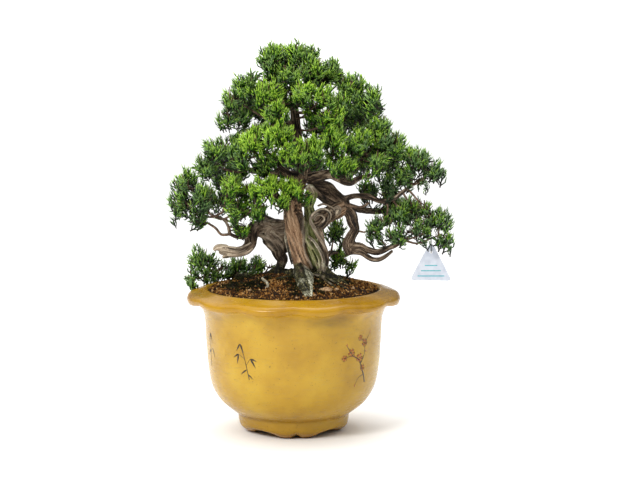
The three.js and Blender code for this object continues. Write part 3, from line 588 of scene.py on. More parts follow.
# %% [markdown]
# The wood grew as one piece: two twisted strands that make up the main trunk, a second trunk that leans over
# from the left, and limbs that turn back on themselves. The real wood is fluted, because each root feeds its
# own strand, and the strands wind round the trunk. Each part is a list of points with a radius, in the same
# places as in the plain solid, or a few millimetres off. A finely ridged tube follows each list, all tubes
# are fused by a voxel remesh, and a last relief cuts the bark's furrows along the grain.
# %% Trunk and limbs
# Points are x, y, z and radius in millimetres from the foot of the pot's axis.
STRANDS = {
    "red_strand": [(18, 2, 168, 9), (17, -2, 192, 13), (15, -5, 214, 14), (12, -7, 236, 12),
        (6, -9, 262, 11.5), (1, -9, 291, 12.5), (-1, -8, 314, 13), (1, -6, 333, 11.5), (6, -4, 350, 9.5),
        (14, 0, 367, 8)],
    "green_strand": [(34, 6, 170, 9), (35, 5, 190, 12), (35, 5, 210, 12.5), (33, 2, 238, 12),
        (29, 1, 262, 11.5), (23, 2, 284, 10.5), (24, 2, 307, 9), (22, -1, 324, 7), (25, -4, 339, 7.5),
        (23, -4, 353, 4.5)],
    "right_ridge": [(33, -2, 297, 4.5), (38, -4, 284, 4.8), (40, -4, 270, 5), (43.5, -4, 258, 5),
        (45, -4, 246, 5), (44.5, -4, 234, 5), (44, 0, 215, 6), (45, 2, 200, 5)],
    "knot": [(20, 6, 300, 10), (33, 2, 298, 11.5), (46, 4, 308, 11.5), (62, 6, 315, 11), (75, 6, 320, 9)],
    "second_trunk": [(-14, 28, 185, 7), (-20, 26, 205, 9), (-21, 25, 226, 7.4), (-18.5, 24, 235, 6.6),
        (-17, 24, 243, 8.2), (-21, 23, 251, 8.8), (-21, 22, 259, 13), (-24, 20, 269, 14.5),
        (-31, 18, 281, 16), (-35, 18, 286, 13.5), (-25, 16, 289, 12), (-8, 10, 289, 11), (4, 4, 284, 10)],
}
LIMBS = {
    "hook": [(-35, 18, 290, 11), (-55, 8, 289, 10.5), (-61, 2, 278, 9.5), (-62, -3, 267, 8.5),
        (-72, -8, 259, 7.5), (-87, -12, 258, 7.5), (-99, -14, 261, 7.2), (-105, -15, 263, 5.5)],
    "leader": [(12, 0, 360, 9), (15, 4, 376, 9), (9, 8, 400, 8), (4, 10, 431, 7), (1, 10, 463, 6),
        (-1, 6, 488, 4.5), (-3, 2, 512, 3)],
    "upper_left": [(10, 0, 362, 7.5), (-6, -4, 367, 6.5), (-19, -8, 376, 5.5), (-27, -14, 388, 5),
        (-40, -22, 401, 3.8)],
    "upper_right": [(16, 3, 362, 8), (35, 1, 366, 7), (53, -2, 368, 6.5), (63, -6, 363, 5.5),
        (75, -8, 357, 5), (82, -9, 356, 4.5), (91, -11, 362, 4), (110, -14, 368, 2.8)],
    "rising_right": [(72, -7, 358, 5), (80, -4, 369, 5.5), (90, 0, 380, 5), (99, 4, 391, 4.5),
        (111, 6, 405, 3.2)],
    "dark_limb": [(24, 8, 358, 8), (41, 14, 351, 8), (51, 14, 347, 7.5), (60, 12, 338, 7),
        (71, 10, 328, 7.5), (75, 9, 319, 8)],
    "dark_wood": [(30, 10, 344, 6), (46, 14, 333, 9), (60, 10, 323, 8)],
    "stub_arm": [(28, 0, 347, 5), (38, 5, 338, 4), (46, 8, 330, 4.5)],
    "long_right": [(66, 12, 333, 5.5), (73, 8, 333, 4.5), (88, 4, 337, 3.8), (106, 0, 336, 3.8),
        (123, -4, 330, 3.6), (141, -6, 333, 3.4), (155, -6, 343, 3), (168, -6, 353, 2.4)],
    "thin_right": [(70, 6, 322, 3), (77, 2, 323, 2.5), (95, 0, 321, 2), (108, 0, 327, 1.6)],
    "s_bend": [(66, 8, 317, 8), (72, 8, 318, 8.5), (81, 4, 311, 8.5), (84.5, 0, 299, 8.3),
        (87.5, -2, 289, 6.8), (83, -4, 280, 7.5), (79, -4, 272, 7.5), (78, -4, 264, 7.5),
        (81, -4, 253, 5.5)],
    "low_right": [(79, -4, 265, 6), (94, -8, 266, 5), (107, -10, 260, 4.8), (120, -12, 258, 4.5),
        (133, -12, 263, 4), (145, -12, 268, 3.5), (157, -12, 275, 2.6)],
    "lowest_right": [(80, -4, 258, 5), (96, -16, 257, 4.2), (110, -20, 249, 3.8), (121, -20, 248, 3.5),
        (132, -20, 254, 2.8), (141, -18, 261, 2.2)],
    "fork_left": [(-57, 8, 285, 4.5), (-69, -6, 279, 3.5), (-81, -12, 280, 3), (-90, -16, 285, 2.8),
        (-92, -18, 295, 2.5), (-99, -18, 305, 2.2), (-112, -18, 309, 2)],
    "fork_left_end": [(-89, -16, 284, 2.3), (-102, -20, 284, 2), (-110, -20, 293, 1.9),
        (-121, -18, 300, 1.7)],
    "back_low_left": [(-22, 26, 230, 5.5), (-40, 44, 218, 4), (-58, 60, 212, 3.4), (-78, 74, 213, 3),
        (-98, 80, 210, 2.6), (-112, 70, 215, 2.2), (-122, 64, 222, 1.8)],
    "back_low_right": [(36, 8, 238, 6), (46, 26, 246, 4.5), (54, 44, 250, 3.5), (64, 58, 248, 2.4)],
    "back_left": [(12, 4, 366, 7), (-4, 22, 366, 6), (-34, 44, 366, 5), (-66, 56, 370, 4)],
    "back_right": [(22, 8, 358, 7), (40, 34, 362, 6), (72, 52, 368, 5), (98, 58, 378, 4)],
    "back_middle": [(8, 8, 400, 6.5), (10, 36, 398, 5), (12, 66, 390, 4), (12, 88, 384, 3)],
    "back_left_low": [(-30, 20, 294, 8), (-56, 40, 306, 6), (-84, 54, 316, 4.5), (-100, 60, 322, 3.5)],
    "back_right_low": [(74, 12, 322, 6), (98, 34, 314, 5), (124, 52, 310, 4), (140, 60, 312, 3)],
}
ROOTS = {
    "root_front": [(8, -14, 238, 7), (10, -38, 229, 8), (14, -62, 222, 8), (19, -86, 213, 7),
        (23, -102, 203, 4)],
    "root_front_left": [(12, -4, 228, 8), (-4, -16, 220, 6), (-20, -28, 219, 5), (-36, -38, 206, 3)],
    "root_front_right": [(40, -4, 232, 9), (54, -16, 224, 6), (68, -28, 217, 4), (84, -36, 203, 2.6)],
    "root_right": [(42, 4, 226, 8), (62, 8, 216, 6), (84, 12, 207, 4), (98, 14, 196, 3)],
    "root_back_right": [(36, 8, 225, 8), (42, 30, 215, 6.5), (50, 52, 207, 4.5), (56, 68, 198, 3)],
    "root_left": [(-18, 28, 223, 8), (-34, 34, 213, 5.5), (-52, 42, 205, 4), (-66, 48, 197, 3)],
    "root_back_left": [(-12, 30, 223, 7), (-6, 50, 214, 6), (-4, 70, 207, 4.5), (-4, 84, 196, 3)],
    "root_between": [(2, 10, 224, 10), (-8, 18, 219, 9), (-16, 26, 217, 9)],
}
print(len(STRANDS) + len(LIMBS) + len(ROOTS), "parts of one piece of wood")

# %% [markdown]
# On such a tree the sap runs in a few live veins, and the wood between them is dead, bleached and hard. The
# weathered ridges and lines on the front of the trunk are those edges, with a swirl round an old knot. They
# are thin tubes half sunk in the strands, so that the remesh leaves a ridge and a crease. Small burrs, stubs
# and root crests are made the same way. The bowls, where the wood rotted out or split, are pressed in
# afterwards.
# %% Weathered ridges, burrs and bowls
RIDGES = {
    "cream_edge": [(-11, -11, 324, 1.8), (-13, -11.5, 309, 1.9), (-12, -13, 292, 2), (-11, -13.5, 278, 2),
        (-8, -14.5, 263, 2), (-5, -16, 250, 1.8), (-2, -16, 240, 1.5)],
    "vein_edge": [(12, -16, 314, 1.5), (13, -16.5, 299, 1.6), (14, -17, 281, 1.7), (14.5, -17, 269, 1.7),
        (17, -17, 256, 1.9), (23, -17, 244, 2), (27, -16, 234, 2)],
    "pale_line": [(24, -12, 309, 1.8), (24, -13.5, 302, 2.2), (28, -14, 294, 3), (33, -14.5, 286, 3.4),
        (37, -14, 279, 3), (42, -13, 271, 2.6), (46, -11, 262, 2)],
    "cream_line": [(22, -14.5, 280, 1.6), (28, -15, 275, 2), (33, -15, 268, 2.2), (37, -15, 262, 2.3),
        (41, -15, 253, 2.4), (43, -14, 244, 2.5), (43.5, -13, 233, 2.6), (43, -12, 222, 2.6)],
    "fibre_1": [(15, -14, 309, 1.3), (16, -14.5, 293, 1.5), (17, -15, 278, 1.7), (22, -16, 265, 1.7),
        (28, -16, 252, 1.8), (33, -15.5, 239, 1.8), (35, -14, 226, 1.8)],
    "fibre_2": [(18, -13, 302, 1.3), (20, -14, 286, 1.5), (24, -15, 271, 1.7), (31, -15.5, 259, 1.8),
        (36, -15, 248, 1.8), (38, -14.5, 236, 1.8), (38, -13, 224, 1.8)],
    "swirl_far": [(34, -8, 323, 1.6), (42, -8, 326, 1.8), (51, -8, 323, 2), (58, -6, 317, 2),
        (60, -5, 309, 2)],
    "swirl_outer": [(24, -12, 304, 2), (26, -12, 311, 2.2), (33, -11.5, 316, 2.3), (41, -11, 319, 2.4),
        (48, -11, 317, 2.4), (52, -9, 311, 2.2), (50, -8, 303, 2)],
    "swirl_inner": [(29, -12.5, 303, 1.6), (31, -12.5, 309, 1.8), (37, -12.5, 311.5, 1.9),
        (43, -12, 309, 1.8), (44, -12, 304, 1.6), (40, -12, 300, 1.5)],
    "hollow": [(-1, -12, 334, 5), (3, -13, 324, 6.2), (7, -13, 313, 6), (10, -13.5, 300, 3)],
    "pale_knob": [(58, 0, 314, 5), (62, -4, 317, 6), (64, -7, 319, 4)],
    "stub": [(21, -3, 322, 7), (24, -4, 334, 8), (26, -5, 341, 8), (24.5, -5, 347, 6.5),
        (22.5, -5, 353, 3.5)],
    "stub_rim": [(17, -8, 348, 2), (22, -10, 353.5, 2.6), (29, -9, 349, 2.2)],
    "arch_strip": [(-55, 4, 281, 2.6), (-46, 4, 279, 3.2), (-38, 4, 274, 3.4), (-31, 5, 267, 3),
        (-26, 7, 258, 2.4)],
    "arch_top": [(-57, 5, 291, 2.4), (-48, 3, 297, 3), (-36, 4, 296, 3), (-26, 4, 290, 2.4)],
    "grey_knob": [(12, -19, 238, 4), (16, -23, 233, 6.5), (20, -25, 228, 5)],
    "pale_lump": [(1, -20, 231, 3), (4, -25, 229.5, 3.2)],
    "root_lobe": [(7, -16, 234, 6), (9, -30, 230, 7.5), (11, -50, 225.5, 8), (14, -70, 219.5, 7.5),
        (18, -90, 212, 6.5), (20, -104, 206, 4)],
    "root_crest": [(15, -26, 236, 2.2), (18, -44, 231.5, 2.6), (21, -60, 226.5, 2.8),
        (24, -76, 220.5, 2.8), (25.5, -92, 213, 2.4), (25, -104, 207, 2)],
    "root_crest_left": [(2, -28, 230, 2.2), (4, -48, 226, 2.6), (8, -70, 219.5, 2.6), (12, -90, 212, 2.2)],
    "root_lobe_side": [(20, -22, 232, 4), (24, -36, 227, 4.6), (25, -50, 221.5, 4), (24, -60, 218, 3)],
    "root_thin_1": [(22, -16, 229, 2.2), (37, -20, 224, 1.9), (48, -42, 220, 1.6), (58, -63, 215, 1.4),
        (64, -74, 211, 1)],
    "root_thin_2": [(30, -14, 228, 2.2), (46, -26, 223.5, 1.9), (60, -45, 218.5, 1.6), (72, -62, 213, 1.4),
        (80, -70, 208.5, 1)],
    "root_pale": [(-41, -4, 220, 1.6), (-42, -12, 222, 2), (-44, -24, 221.5, 2), (-37, -50, 219.5, 2.1),
        (-35, -64, 217, 2), (-38, -74, 214, 1.6)],
    "hook_tip_high": [(-94, -13, 262.5, 6.5), (-102, -14, 264, 6), (-109, -15, 264, 4.2),
        (-113, -16, 261, 2.2)],
    "hook_tip_low": [(-88, -13, 256, 5), (-95, -15, 253.5, 4), (-101, -17, 251, 1.8)],
    "hook_ridge_high": [(-60, -13, 271, 2), (-70, -18, 266, 2.2), (-82, -20, 264, 2.2),
        (-94, -20, 266, 2)],
    "hook_ridge_low": [(-57, -13, 263, 2), (-68, -17, 256, 2.2), (-82, -19.5, 254, 2.2),
        (-94, -19, 255, 1.8)],
}
print(len(RIDGES), "ridges and burrs")

# %% Bowls
# Place, radius and depth of each bowl
BOWLS = [
    ((5, -19, 319), 10, 6),
    ((11, -17, 309), 6, 3.5),
    ((34, -14, 298), 3.8, 6),
    ((37, -12, 306), 4, 3.5),
    ((-97, -22, 262), 7, 3),
    ((-20, -2, 292), 7, 3),
    ((6, -20, 247), 4, 1.6),
]
print(len(BOWLS), "bowls")

# %% Covers and flutes
# What covers each part along its length: live red vein, green algae, bare deadwood and lichen, each from 0
# to 1. The rest is brown bark, and a part that isn't listed is plain bark.
COVERS = {
    "red_strand": [(0.4, 0.3, 0, 0.3), (0.9, 0.1, 0, 0), (1, 0, 0, 0), (1, 0, 0, 0), (0.9, 0, 0, 0),
        (0.3, 0, 0, 0)],
    "green_strand": [(0, 0.9, 0, 0.3), (0, 0.9, 0.1, 0.1), (0, 0.9, 0.1, 0), (0, 0.8, 0.1, 0)],
    "right_ridge": [(0.3, 0, 0.3, 0), (0.2, 0, 0.2, 0)],
    "knot": [(0.1, 0, 0.3, 0), (0.4, 0, 0.1, 0)],
    "second_trunk": [(0, 0.1, 0, 0), (0.15, 0, 0.1, 0), (0.2, 0, 0.3, 0), (0.2, 0.1, 0.45, 0),
        (0.1, 0.1, 0.3, 0)],
    "hook": [(0, 0, 0.45, 0), (0.2, 0, 0.3, 0), (0, 0, 0, 0), (0, 0, 0.2, 0), (0, 0, 0.6, 0),
        (0, 0, 0.9, 0)],
    "cream_edge": [(0, 0.3, 0.45, 0.3)],
    "vein_edge": [(0.5, 0, 0.45, 0)],
    "pale_line": [(0, 0, 1, 0)],
    "cream_line": [(0, 0.15, 0.7, 0.3)],
    "fibre_1": [(0, 0.7, 0.3, 0)],
    "fibre_2": [(0, 0.8, 0.35, 0.1)],
    "swirl_far": [(0.3, 0, 0.4, 0)],
    "swirl_outer": [(0.3, 0, 0.55, 0)],
    "swirl_inner": [(0.3, 0, 0.5, 0)],
    "pale_knob": [(0.2, 0, 0.7, 0)],
    "hollow": [(0, 0, 0, 0)],
    "stub": [(0, 0.9, 0, 0), (0.5, 0.4, 0.2, 0), (0, 0, 0.8, 0)],
    "stub_rim": [(0, 0, 0.8, 0.4)],
    "arch_strip": [(0, 0, 0.75, 0)],
    "arch_top": [(0, 0.2, 0.5, 0)],
    "grey_knob": [(0, 0, 0.3, 0.1)],
    "pale_lump": [(0, 0, 0.4, 0.8)],
    "root_lobe": [(0, 0.2, 0, 0), (0, 0.2, 0.1, 0.1), (0, 0.2, 0.1, 0.5), (0, 0.2, 0, 0.35)],
    "root_crest": [(0, 0, 0.6, 0.9)],
    "root_crest_left": [(0, 0.3, 0, 0.1)],
    "root_lobe_side": [(0, 0.2, 0.2, 0.6)],
    "root_front": [(0, 0.3, 0, 0.05)],
    "root_pale": [(0, 0.2, 0.6, 0.4)],
    "root_thin_1": [(0, 0, 0.2, 0)],
    "root_thin_2": [(0, 0, 0.2, 0)],
    "hook_tip_high": [(0, 0, 0.8, 0), (0, 0, 1, 0)],
    "hook_tip_low": [(0, 0, 0.7, 0), (0, 0, 1, 0)],
    "hook_ridge_high": [(0, 0, 0.5, 0)],
    "hook_ridge_low": [(0, 0, 0.65, 0)],
    "fork_left": [(0, 0, 0.3, 0)],
    "upper_right": [(0.2, 0, 0.2, 0)],
    "long_right": [(0, 0, 0.05, 0), (0, 0, 0.35, 0)],
    "low_right": [(0.1, 0, 0.1, 0), (0, 0, 0.3, 0)],
}
PLAIN_BARK = [(0, 0, 0.05, 0)]
# How far the flutes stand out, as a share of their usual depth, on the parts where it isn't 1
FLUTE_DEPTH = {"red_strand": 0.35, "green_strand": 1.3, "hook": 1.3, "second_trunk": 1.2}
print(len(COVERS), "parts have covers of their own")

# %% [markdown]
# A tube needs a frame that travels along its path without spinning: each step turns the last frame just
# enough to follow the path. Every point of a tube also notes its place in the grain, which is how far round
# and how far along the limb it lies. That note lets the bark's furrows run along every limb, whichever
# way it bends.
# %% Frames along a path
GRAIN_STRETCH = 0.10
GRAIN_APART = 37.0
FLUTE_TWIST = 0.016
FLUTE_SHIFT = 1.7
TUBE_STEP = 1.5
TUBE_SIDES = (9, 60)
THINNEST_TUBE = 0.6
# How much a tube swells and is lumpy, and how long its swellings and lumps are
SWELLING = 0.07
SWELLING_LENGTH = 11
LUMPS = 0.10
LUMP_LENGTH = 9
LUMP_WAVES = 1.3
# A part that is nowhere thicker than this radius gets faint flutes
SLIM = 3
SLIM_FLUTES = 0.3


def travelling_frames(centres):
    """Two sideways directions at each point of a path, turned as little as possible from point to point."""
    along = np.gradient(centres, axis=0)
    along /= np.linalg.norm(along, axis=1)[:, None]
    side = np.cross(along[0], (0, 1, 0) if abs(along[0][1]) < 0.9 else (1, 0, 0))
    sides = []
    for direction in along:
        side = side - direction * np.dot(side, direction)
        side /= np.linalg.norm(side)
        sides.append(side)
    sides = np.array(sides)
    return sides, np.cross(along, sides)


print("a furrow is drawn", round(1 / GRAIN_STRETCH), "times as long as it is wide")

# %% Fluted tubes
def fluted_reach(angle, travelled, radius, depth, seed):
    """Radius of a limb with its flutes and swellings, at angles round it and at a distance along it. Three
    broad flutes, five finer ones and nine fine ones lie over one another, with random lumps."""
    turned = angle + FLUTE_TWIST * travelled + seed
    flutes = 0.075 * np.cos(3 * turned) + 0.05 * np.cos(5 * turned + 1 + seed)
    flutes = flutes + 0.035 * np.cos(9 * turned + 2)
    swelling = SWELLING * noise.noise((travelled / SWELLING_LENGTH, seed, 0))
    lumps = [LUMPS * noise.noise((math.cos(a) * LUMP_WAVES + seed, math.sin(a) * LUMP_WAVES,
                                  travelled / LUMP_LENGTH)) for a in angle]
    return radius * (1 + depth * (flutes + np.array(lumps)) + swelling)


def limb_tube(name, points, number):
    """Points, faces, grain and cover of the closed tube of one part."""
    path = smooth_path(points, TUBE_STEP)
    centres, radii = path[:, :3], np.maximum(path[:, 3], THINNEST_TUBE)
    travelled = np.concatenate([[0], np.cumsum(np.linalg.norm(np.diff(centres, axis=0), axis=1))])
    first, second = travelling_frames(centres)
    sides = int(np.clip(2 * math.pi * radii.max() / TUBE_STEP, *TUBE_SIDES))
    angle = 2 * math.pi * np.arange(sides) / sides
    across, up = np.cos(angle)[:, None], np.sin(angle)[:, None]
    depth = FLUTE_DEPTH.get(name, 1.0) if radii.max() > SLIM else SLIM_FLUTES
    rings, grain = [], []
    for step, centre in enumerate(centres):
        reach = fluted_reach(angle, travelled[step], radii[step], depth, number * FLUTE_SHIFT)[:, None]
        rings.append(centre + (across * first[step] + up * second[step]) * reach)
        turned = angle + FLUTE_TWIST * travelled[step]
        length = np.full(sides, travelled[step] * GRAIN_STRETCH)
        round_it = np.stack([np.cos(turned), np.sin(turned)]) * radii.mean()
        grain.append(np.stack([*round_it, length], axis=1) + GRAIN_APART * number)
    count = len(centres)
    faces = [(low + s, low + (s + 1) % sides, low + sides + (s + 1) % sides, low + sides + s)
             for low in range(0, (count - 1) * sides, sides) for s in range(sides)]
    faces += [tuple(reversed(range(sides))), tuple(range((count - 1) * sides, count * sides))]
    stops = np.array(COVERS.get(name, PLAIN_BARK))
    cover = [np.interp(np.linspace(0, 1, count), np.linspace(0, 1, len(stops)), stop) for stop in stops.T]
    return np.vstack(rings), faces, np.vstack(grain), np.repeat(np.array(cover).T, sides, axis=0)


print("the hook's tube has", len(limb_tube("hook", LIMBS["hook"], 0)[0]), "points")

# %% [markdown]
# Bark on an old juniper is thin, reddish brown and stringy. Where the live vein is peeled or brushed it is
# smooth and shines a little. Deadwood is a silvery bone grey, with hairline cracks. All of it is dull, with
# a roughness over 0.6 and the IOR of wood and cork, about 1.5. The fibres follow the grain that each point
# noted, and the covers say which colour shows. Near the soil a crust of moss and crumbs climbs up the
# wood. The furrows that are cut later are kept as a value too, so that their floors get painted shade and
# their ridges a little painted light.
# %% Juniper bark and deadwood
FIBRE_WIDTH = 1.1
# Heights in metres between which the crust on the wood's foot sets in
CRUST_TOP = 0.244
CRUST_FULL = 0.226
# The value of a pattern, made ragged, between which a cover sets in
COVER_EDGE = (0.72, 1.05)
# Furrow values and the share of the colour's brightness that is left at each: painted shade in the floors,
# and a little painted light on the ridges
FURROW_FLOOR_SHADE = (0.34, 0.06)
FURROW_RIDGE_LIGHT = (0.54, 1.05)
COVER_RAMPS = {
    "bark": [(0.34, "#0d0805"), (0.49, "#392a1c"), (0.64, "#96816a")],
    "live": [(0.28, "#3f2818"), (0.46, "#836347"), (0.66, "#c4a482")],
    "green": [(0.3, "#31341a"), (0.48, "#70743c"), (0.68, "#bdbe8e")],
    "bare": [(0.32, "#554636"), (0.48, "#978570"), (0.66, "#d2c4ad")],
    "moss": [(0.38, "#0f0e06"), (0.5, "#25230e"), (0.6, "#4b4622"), (0.68, "#8b8560")],
    "lichen": [(0.36, "#45432e"), (0.47, "#a3a183"), (0.62, "#dfdcc6")],
}
CRUMBLY = ("moss", "lichen")


def covered(tree, under, over, share, spread):
    """Lays one colour over another where its share, made ragged by a pattern, is high enough."""
    ragged = add_node(tree, "ShaderNodeMath", {0: share, 1: spread}, operation="ADD")[0]
    mask = add_node(tree, "ShaderNodeMapRange", {
        "Value": ragged, "From Min": COVER_EDGE[0], "From Max": COVER_EDGE[1]})[0]
    return add_node(tree, "ShaderNodeMix", {0: mask, 6: under, 7: over}, data_type="RGBA")[2]


def juniper_wood():
    material, tree, shader = new_material("juniper_bark_and_deadwood")
    place = add_node(tree, "ShaderNodeTexCoord")["Object"]
    height = add_node(tree, "ShaderNodeSeparateXYZ", {0: place})["Z"]
    grain = add_node(tree, "ShaderNodeAttribute", attribute_name="grain")["Vector"]
    cover = add_node(tree, "ShaderNodeAttribute", attribute_name="cover")
    furrow = add_node(tree, "ShaderNodeAttribute", attribute_name="furrow")["Fac"]
    live, green, bare = add_node(tree, "ShaderNodeSeparateColor", {0: cover["Color"]})
    fibres = add_node(tree, "ShaderNodeTexNoise", {
        "Vector": grain, "Scale": 1 / FIBRE_WIDTH / 2, "Detail": 5, "Roughness": 0.65})["Fac"]
    blotches, crumbs = [
        add_node(tree, "ShaderNodeTexNoise", {
            "Vector": place, "Scale": scale, "Detail": detail})["Fac"]
        for scale, detail in ((90, 4), (420, 3))]
    colours = {}
    for name, stops in COVER_RAMPS.items():
        pattern = crumbs if name in CRUMBLY else fibres
        colours[name] = add_node(tree, "ShaderNodeValToRGB", {"Fac": pattern}, stops=stops)[0]
    near_soil = add_node(tree, "ShaderNodeMapRange", {
        "Value": height, "From Min": CRUST_TOP, "From Max": CRUST_FULL})[0]
    colour = colours["bark"]
    for name, share in (("live", live), ("green", green), ("moss", near_soil), ("bare", bare),
                        ("lichen", cover["Alpha"])):
        colour = covered(tree, colour, colours[name], share, blotches)
    # Painted shade darkens the furrows' floors, and painted light brightens the ridges a little
    furrow_shade_and_light = add_node(tree, "ShaderNodeMapRange", {
        "Value": furrow, "From Min": FURROW_FLOOR_SHADE[0], "From Max": FURROW_RIDGE_LIGHT[0],
        "To Min": FURROW_FLOOR_SHADE[1], "To Max": FURROW_RIDGE_LIGHT[1]})[0]
    colour = add_node(tree, "ShaderNodeMix", {0: 1.0, 6: colour, 7: furrow_shade_and_light},
                      data_type="RGBA", blend_type="MULTIPLY")[2]
    rough = add_node(tree, "ShaderNodeMapRange", {"Value": live, "To Min": 0.85, "To Max": 0.62})[0]
    bump = add_node(tree, "ShaderNodeBump", {"Height": fibres, "Strength": 0.7, "Distance": 0.0011})
    feed(tree, shader, {"Base Color": colour, "Roughness": rough, "Specular IOR Level": 0.3,
                        "Normal": bump[0]})
    return material


wood = juniper_wood()
print("wood nodes:", len(wood.node_tree.nodes))

# %% [markdown]
# The voxel remesh wraps all tubes in one even skin, which is how the strands grow together. It loses the
# notes on grain and cover, so each point of the new skin takes them from the nearest points of the tubes.
# The relief is a Geometry Nodes tree: a noise that reads the grain moves the skin in and out, deeper on
# bark than on the smooth live vein, and keeps its own value as the furrow.
# %% Fused skin
COVER_NEIGHBOURS = 5


def fused(name, parts, voxel):
    """One skin round several tubes, with the grain and the cover that lie nearest."""
    tubes = [limb_tube(part, way, number) for number, (part, way) in enumerate(parts.items())]
    points, faces = joined([tube[:2] for tube in tubes])
    grain, cover = (np.vstack([tube[note] for tube in tubes]) for note in (2, 3))
    piece = mesh_piece(name, points, faces, wood)
    remesh = piece.modifiers.new("skin", "REMESH")
    remesh.mode = "VOXEL"
    remesh.voxel_size = voxel * MILLIMETRE
    remesh.use_smooth_shade = True
    finished_mesh(piece)
    tree = KDTree(len(points))
    for index, point in enumerate(to_frame(points)):
        tree.insert(point, index)
    tree.balance()
    near = [[index for _, index, _ in tree.find_n(vertex.co, COVER_NEIGHBOURS)]
            for vertex in piece.data.vertices]
    store(piece, "grain", "FLOAT_VECTOR", grain[[indices[0] for indices in near]])
    store(piece, "cover", "FLOAT_COLOR", cover[np.array(near)].mean(axis=1))
    return piece


print("each point's cover is the mean of", COVER_NEIGHBOURS, "points")

# %% Relief
FURROW_MIDDLE = 0.52
LIVE_DEPTH = 0.35


def relief_tree():
    tree, given = new_tree("bark_relief", {"Furrow depth": ("Float", 1.0), "Furrow width": ("Float", 2.6),
                                           "Material": ("Material", wood)})
    grain = add_node(tree, "GeometryNodeInputNamedAttribute", {"Name": "grain"}, data_type="FLOAT_VECTOR")
    cover = add_node(tree, "GeometryNodeInputNamedAttribute", {"Name": "cover"}, data_type="FLOAT_COLOR")
    live = add_node(tree, "FunctionNodeSeparateColor", {0: cover[0]})[0]
    scale = add_node(tree, "ShaderNodeMath", {0: 0.5, 1: given["Furrow width"]}, operation="DIVIDE")
    pattern = add_node(tree, "ShaderNodeTexNoise", {
        "Vector": grain[0], "Scale": scale[0], "Detail": 4, "Roughness": 0.55})["Fac"]
    kept = add_node(tree, "GeometryNodeStoreNamedAttribute", {
        "Geometry": given["Geometry"], "Name": "furrow", "Value": pattern})
    smoother = add_node(tree, "ShaderNodeMapRange", {"Value": live, "To Min": 1.0, "To Max": LIVE_DEPTH})
    depth = add_node(tree, "ShaderNodeMath", {0: smoother[0], 1: given["Furrow depth"]},
                     operation="MULTIPLY")
    middle = add_node(tree, "ShaderNodeMath", {0: pattern, 1: FURROW_MIDDLE}, operation="SUBTRACT")
    height = add_node(tree, "ShaderNodeMath", {0: middle[0], 1: depth[0]}, operation="MULTIPLY")
    normal = add_node(tree, "GeometryNodeInputNormal")
    offset = add_node(tree, "ShaderNodeVectorMath", {0: normal[0], "Scale": height[0]}, operation="SCALE")
    moved = add_node(tree, "GeometryNodeSetPosition", {"Geometry": kept[0], "Offset": offset[0]})
    end_tree(tree, moved[0], given["Material"])
    return tree


def press_bowls(piece):
    """Presses the bowls into the skin, each deepest in its middle."""
    for place, radius, depth in BOWLS:
        centre = Vector(to_frame(place))
        for vertex in piece.data.vertices:
            near = (vertex.co - centre).length / (radius * MILLIMETRE)
            if near < 1:
                vertex.co += vertex.normal * (-depth * MILLIMETRE * (1 - near**2) ** 2)


relief = relief_tree()
print("relief inputs:", [socket.name for socket in relief.interface.items_tree])

# %% Wood pieces
TRUNK_VOXEL = 1.2
LIMB_VOXEL = 1.5
RELIEF_DEPTH = 3.4
LIMB_RELIEF = 0.7
THIN = 3.0

thick_limbs = {name: points for name, points in LIMBS.items() if points[0][3] > THIN}
trunk_wood = fused("trunk_wood", {**STRANDS, **ROOTS, **RIDGES}, TRUNK_VOXEL)
press_bowls(trunk_wood)
grow(trunk_wood, relief, **{"Furrow depth": RELIEF_DEPTH * MILLIMETRE})
dress(trunk_wood, "bark", "trunk")
limb_wood = fused("limb_wood", thick_limbs, LIMB_VOXEL)
grow(limb_wood, relief, **{"Furrow depth": LIMB_RELIEF * RELIEF_DEPTH * MILLIMETRE})
dress(limb_wood, "bark")

# %% [markdown]
# A Chinese juniper's adult leaves are scales of about a millimetre, pressed to thin shoots, so from a step
# away its foliage is made of green whips with forks. A handful of branchlets is modelled whole: a slightly
# bent axis with side shoots set round it at the golden angle, the lower ones longer and forked, all bending
# forward. Each shoot is a three-sided tube with a pointed end, because thousands of them are placed.
# %% Shoots
SHOOT_TAPER = 0.8


def shoot_tube(path, radius, tips):
    """Points, faces and tip values of a three-sided tube with a pointed end. Tip is 0 at the old wood."""
    path = np.asarray(path, float)
    along = path[-1] - path[0]
    side = np.cross(along, (0.31, 0.87, 0.11))
    side /= np.linalg.norm(side)
    other = np.cross(along, side)
    other /= np.linalg.norm(other)
    corners = [math.cos(turn) * side + math.sin(turn) * other for turn in THIRD_TURNS]
    taper = np.linspace(1.0, SHOOT_TAPER, len(path) - 1)
    points = [centre + corner * radius * share
              for centre, share in zip(path[:-1], taper) for corner in corners]
    points.append(path[-1])
    values = [tip for tip in tips[:-1] for _ in corners] + [tips[-1]]
    faces = [(2, 1, 0)]
    for ring in range(len(path) - 2):
        low = 3 * ring
        faces += [(low + k, low + (k + 1) % 3, low + 3 + (k + 1) % 3, low + 3 + k) for k in range(3)]
    last = 3 * (len(path) - 2)
    faces += [(last + k, last + (k + 1) % 3, last + 3) for k in range(3)]
    return points, faces, values


print("a shoot of two steps has", len(shoot_tube(np.eye(3), 1, (0, 0, 1))[1]), "faces")

# %% Branchlets
BRANCHLET_KINDS = 8
AXIS_LENGTH = 25
# Where the axis has its points, as a share of its length, and how far each is from the brown old wood
AXIS_SHARES = (0.24, 0.4, 0.6, 0.8, 1)
AXIS_TIPS = (0, 0.12, 0.4, 0.75, 1)
SIDE_SHOOTS = 8
FORKED_SHOOTS = 4
LOWEST_SHOOT = 0.32
SHOOT_RADIUS = 0.95
FORK_SHARE = 0.9
# Share of the axis that carries side shoots, on a leader and on the others
LEADER_SPAN = 0.46
BUSHY_SPAN = 0.58
# How long a side shoot is: so long at the axis's foot, and so much shorter at its end
FOOT_SHOOT = 16.5
SHORTER = 10
ELBOW_SHARE = 0.45
GOLDEN_ANGLE = math.radians(137.5)


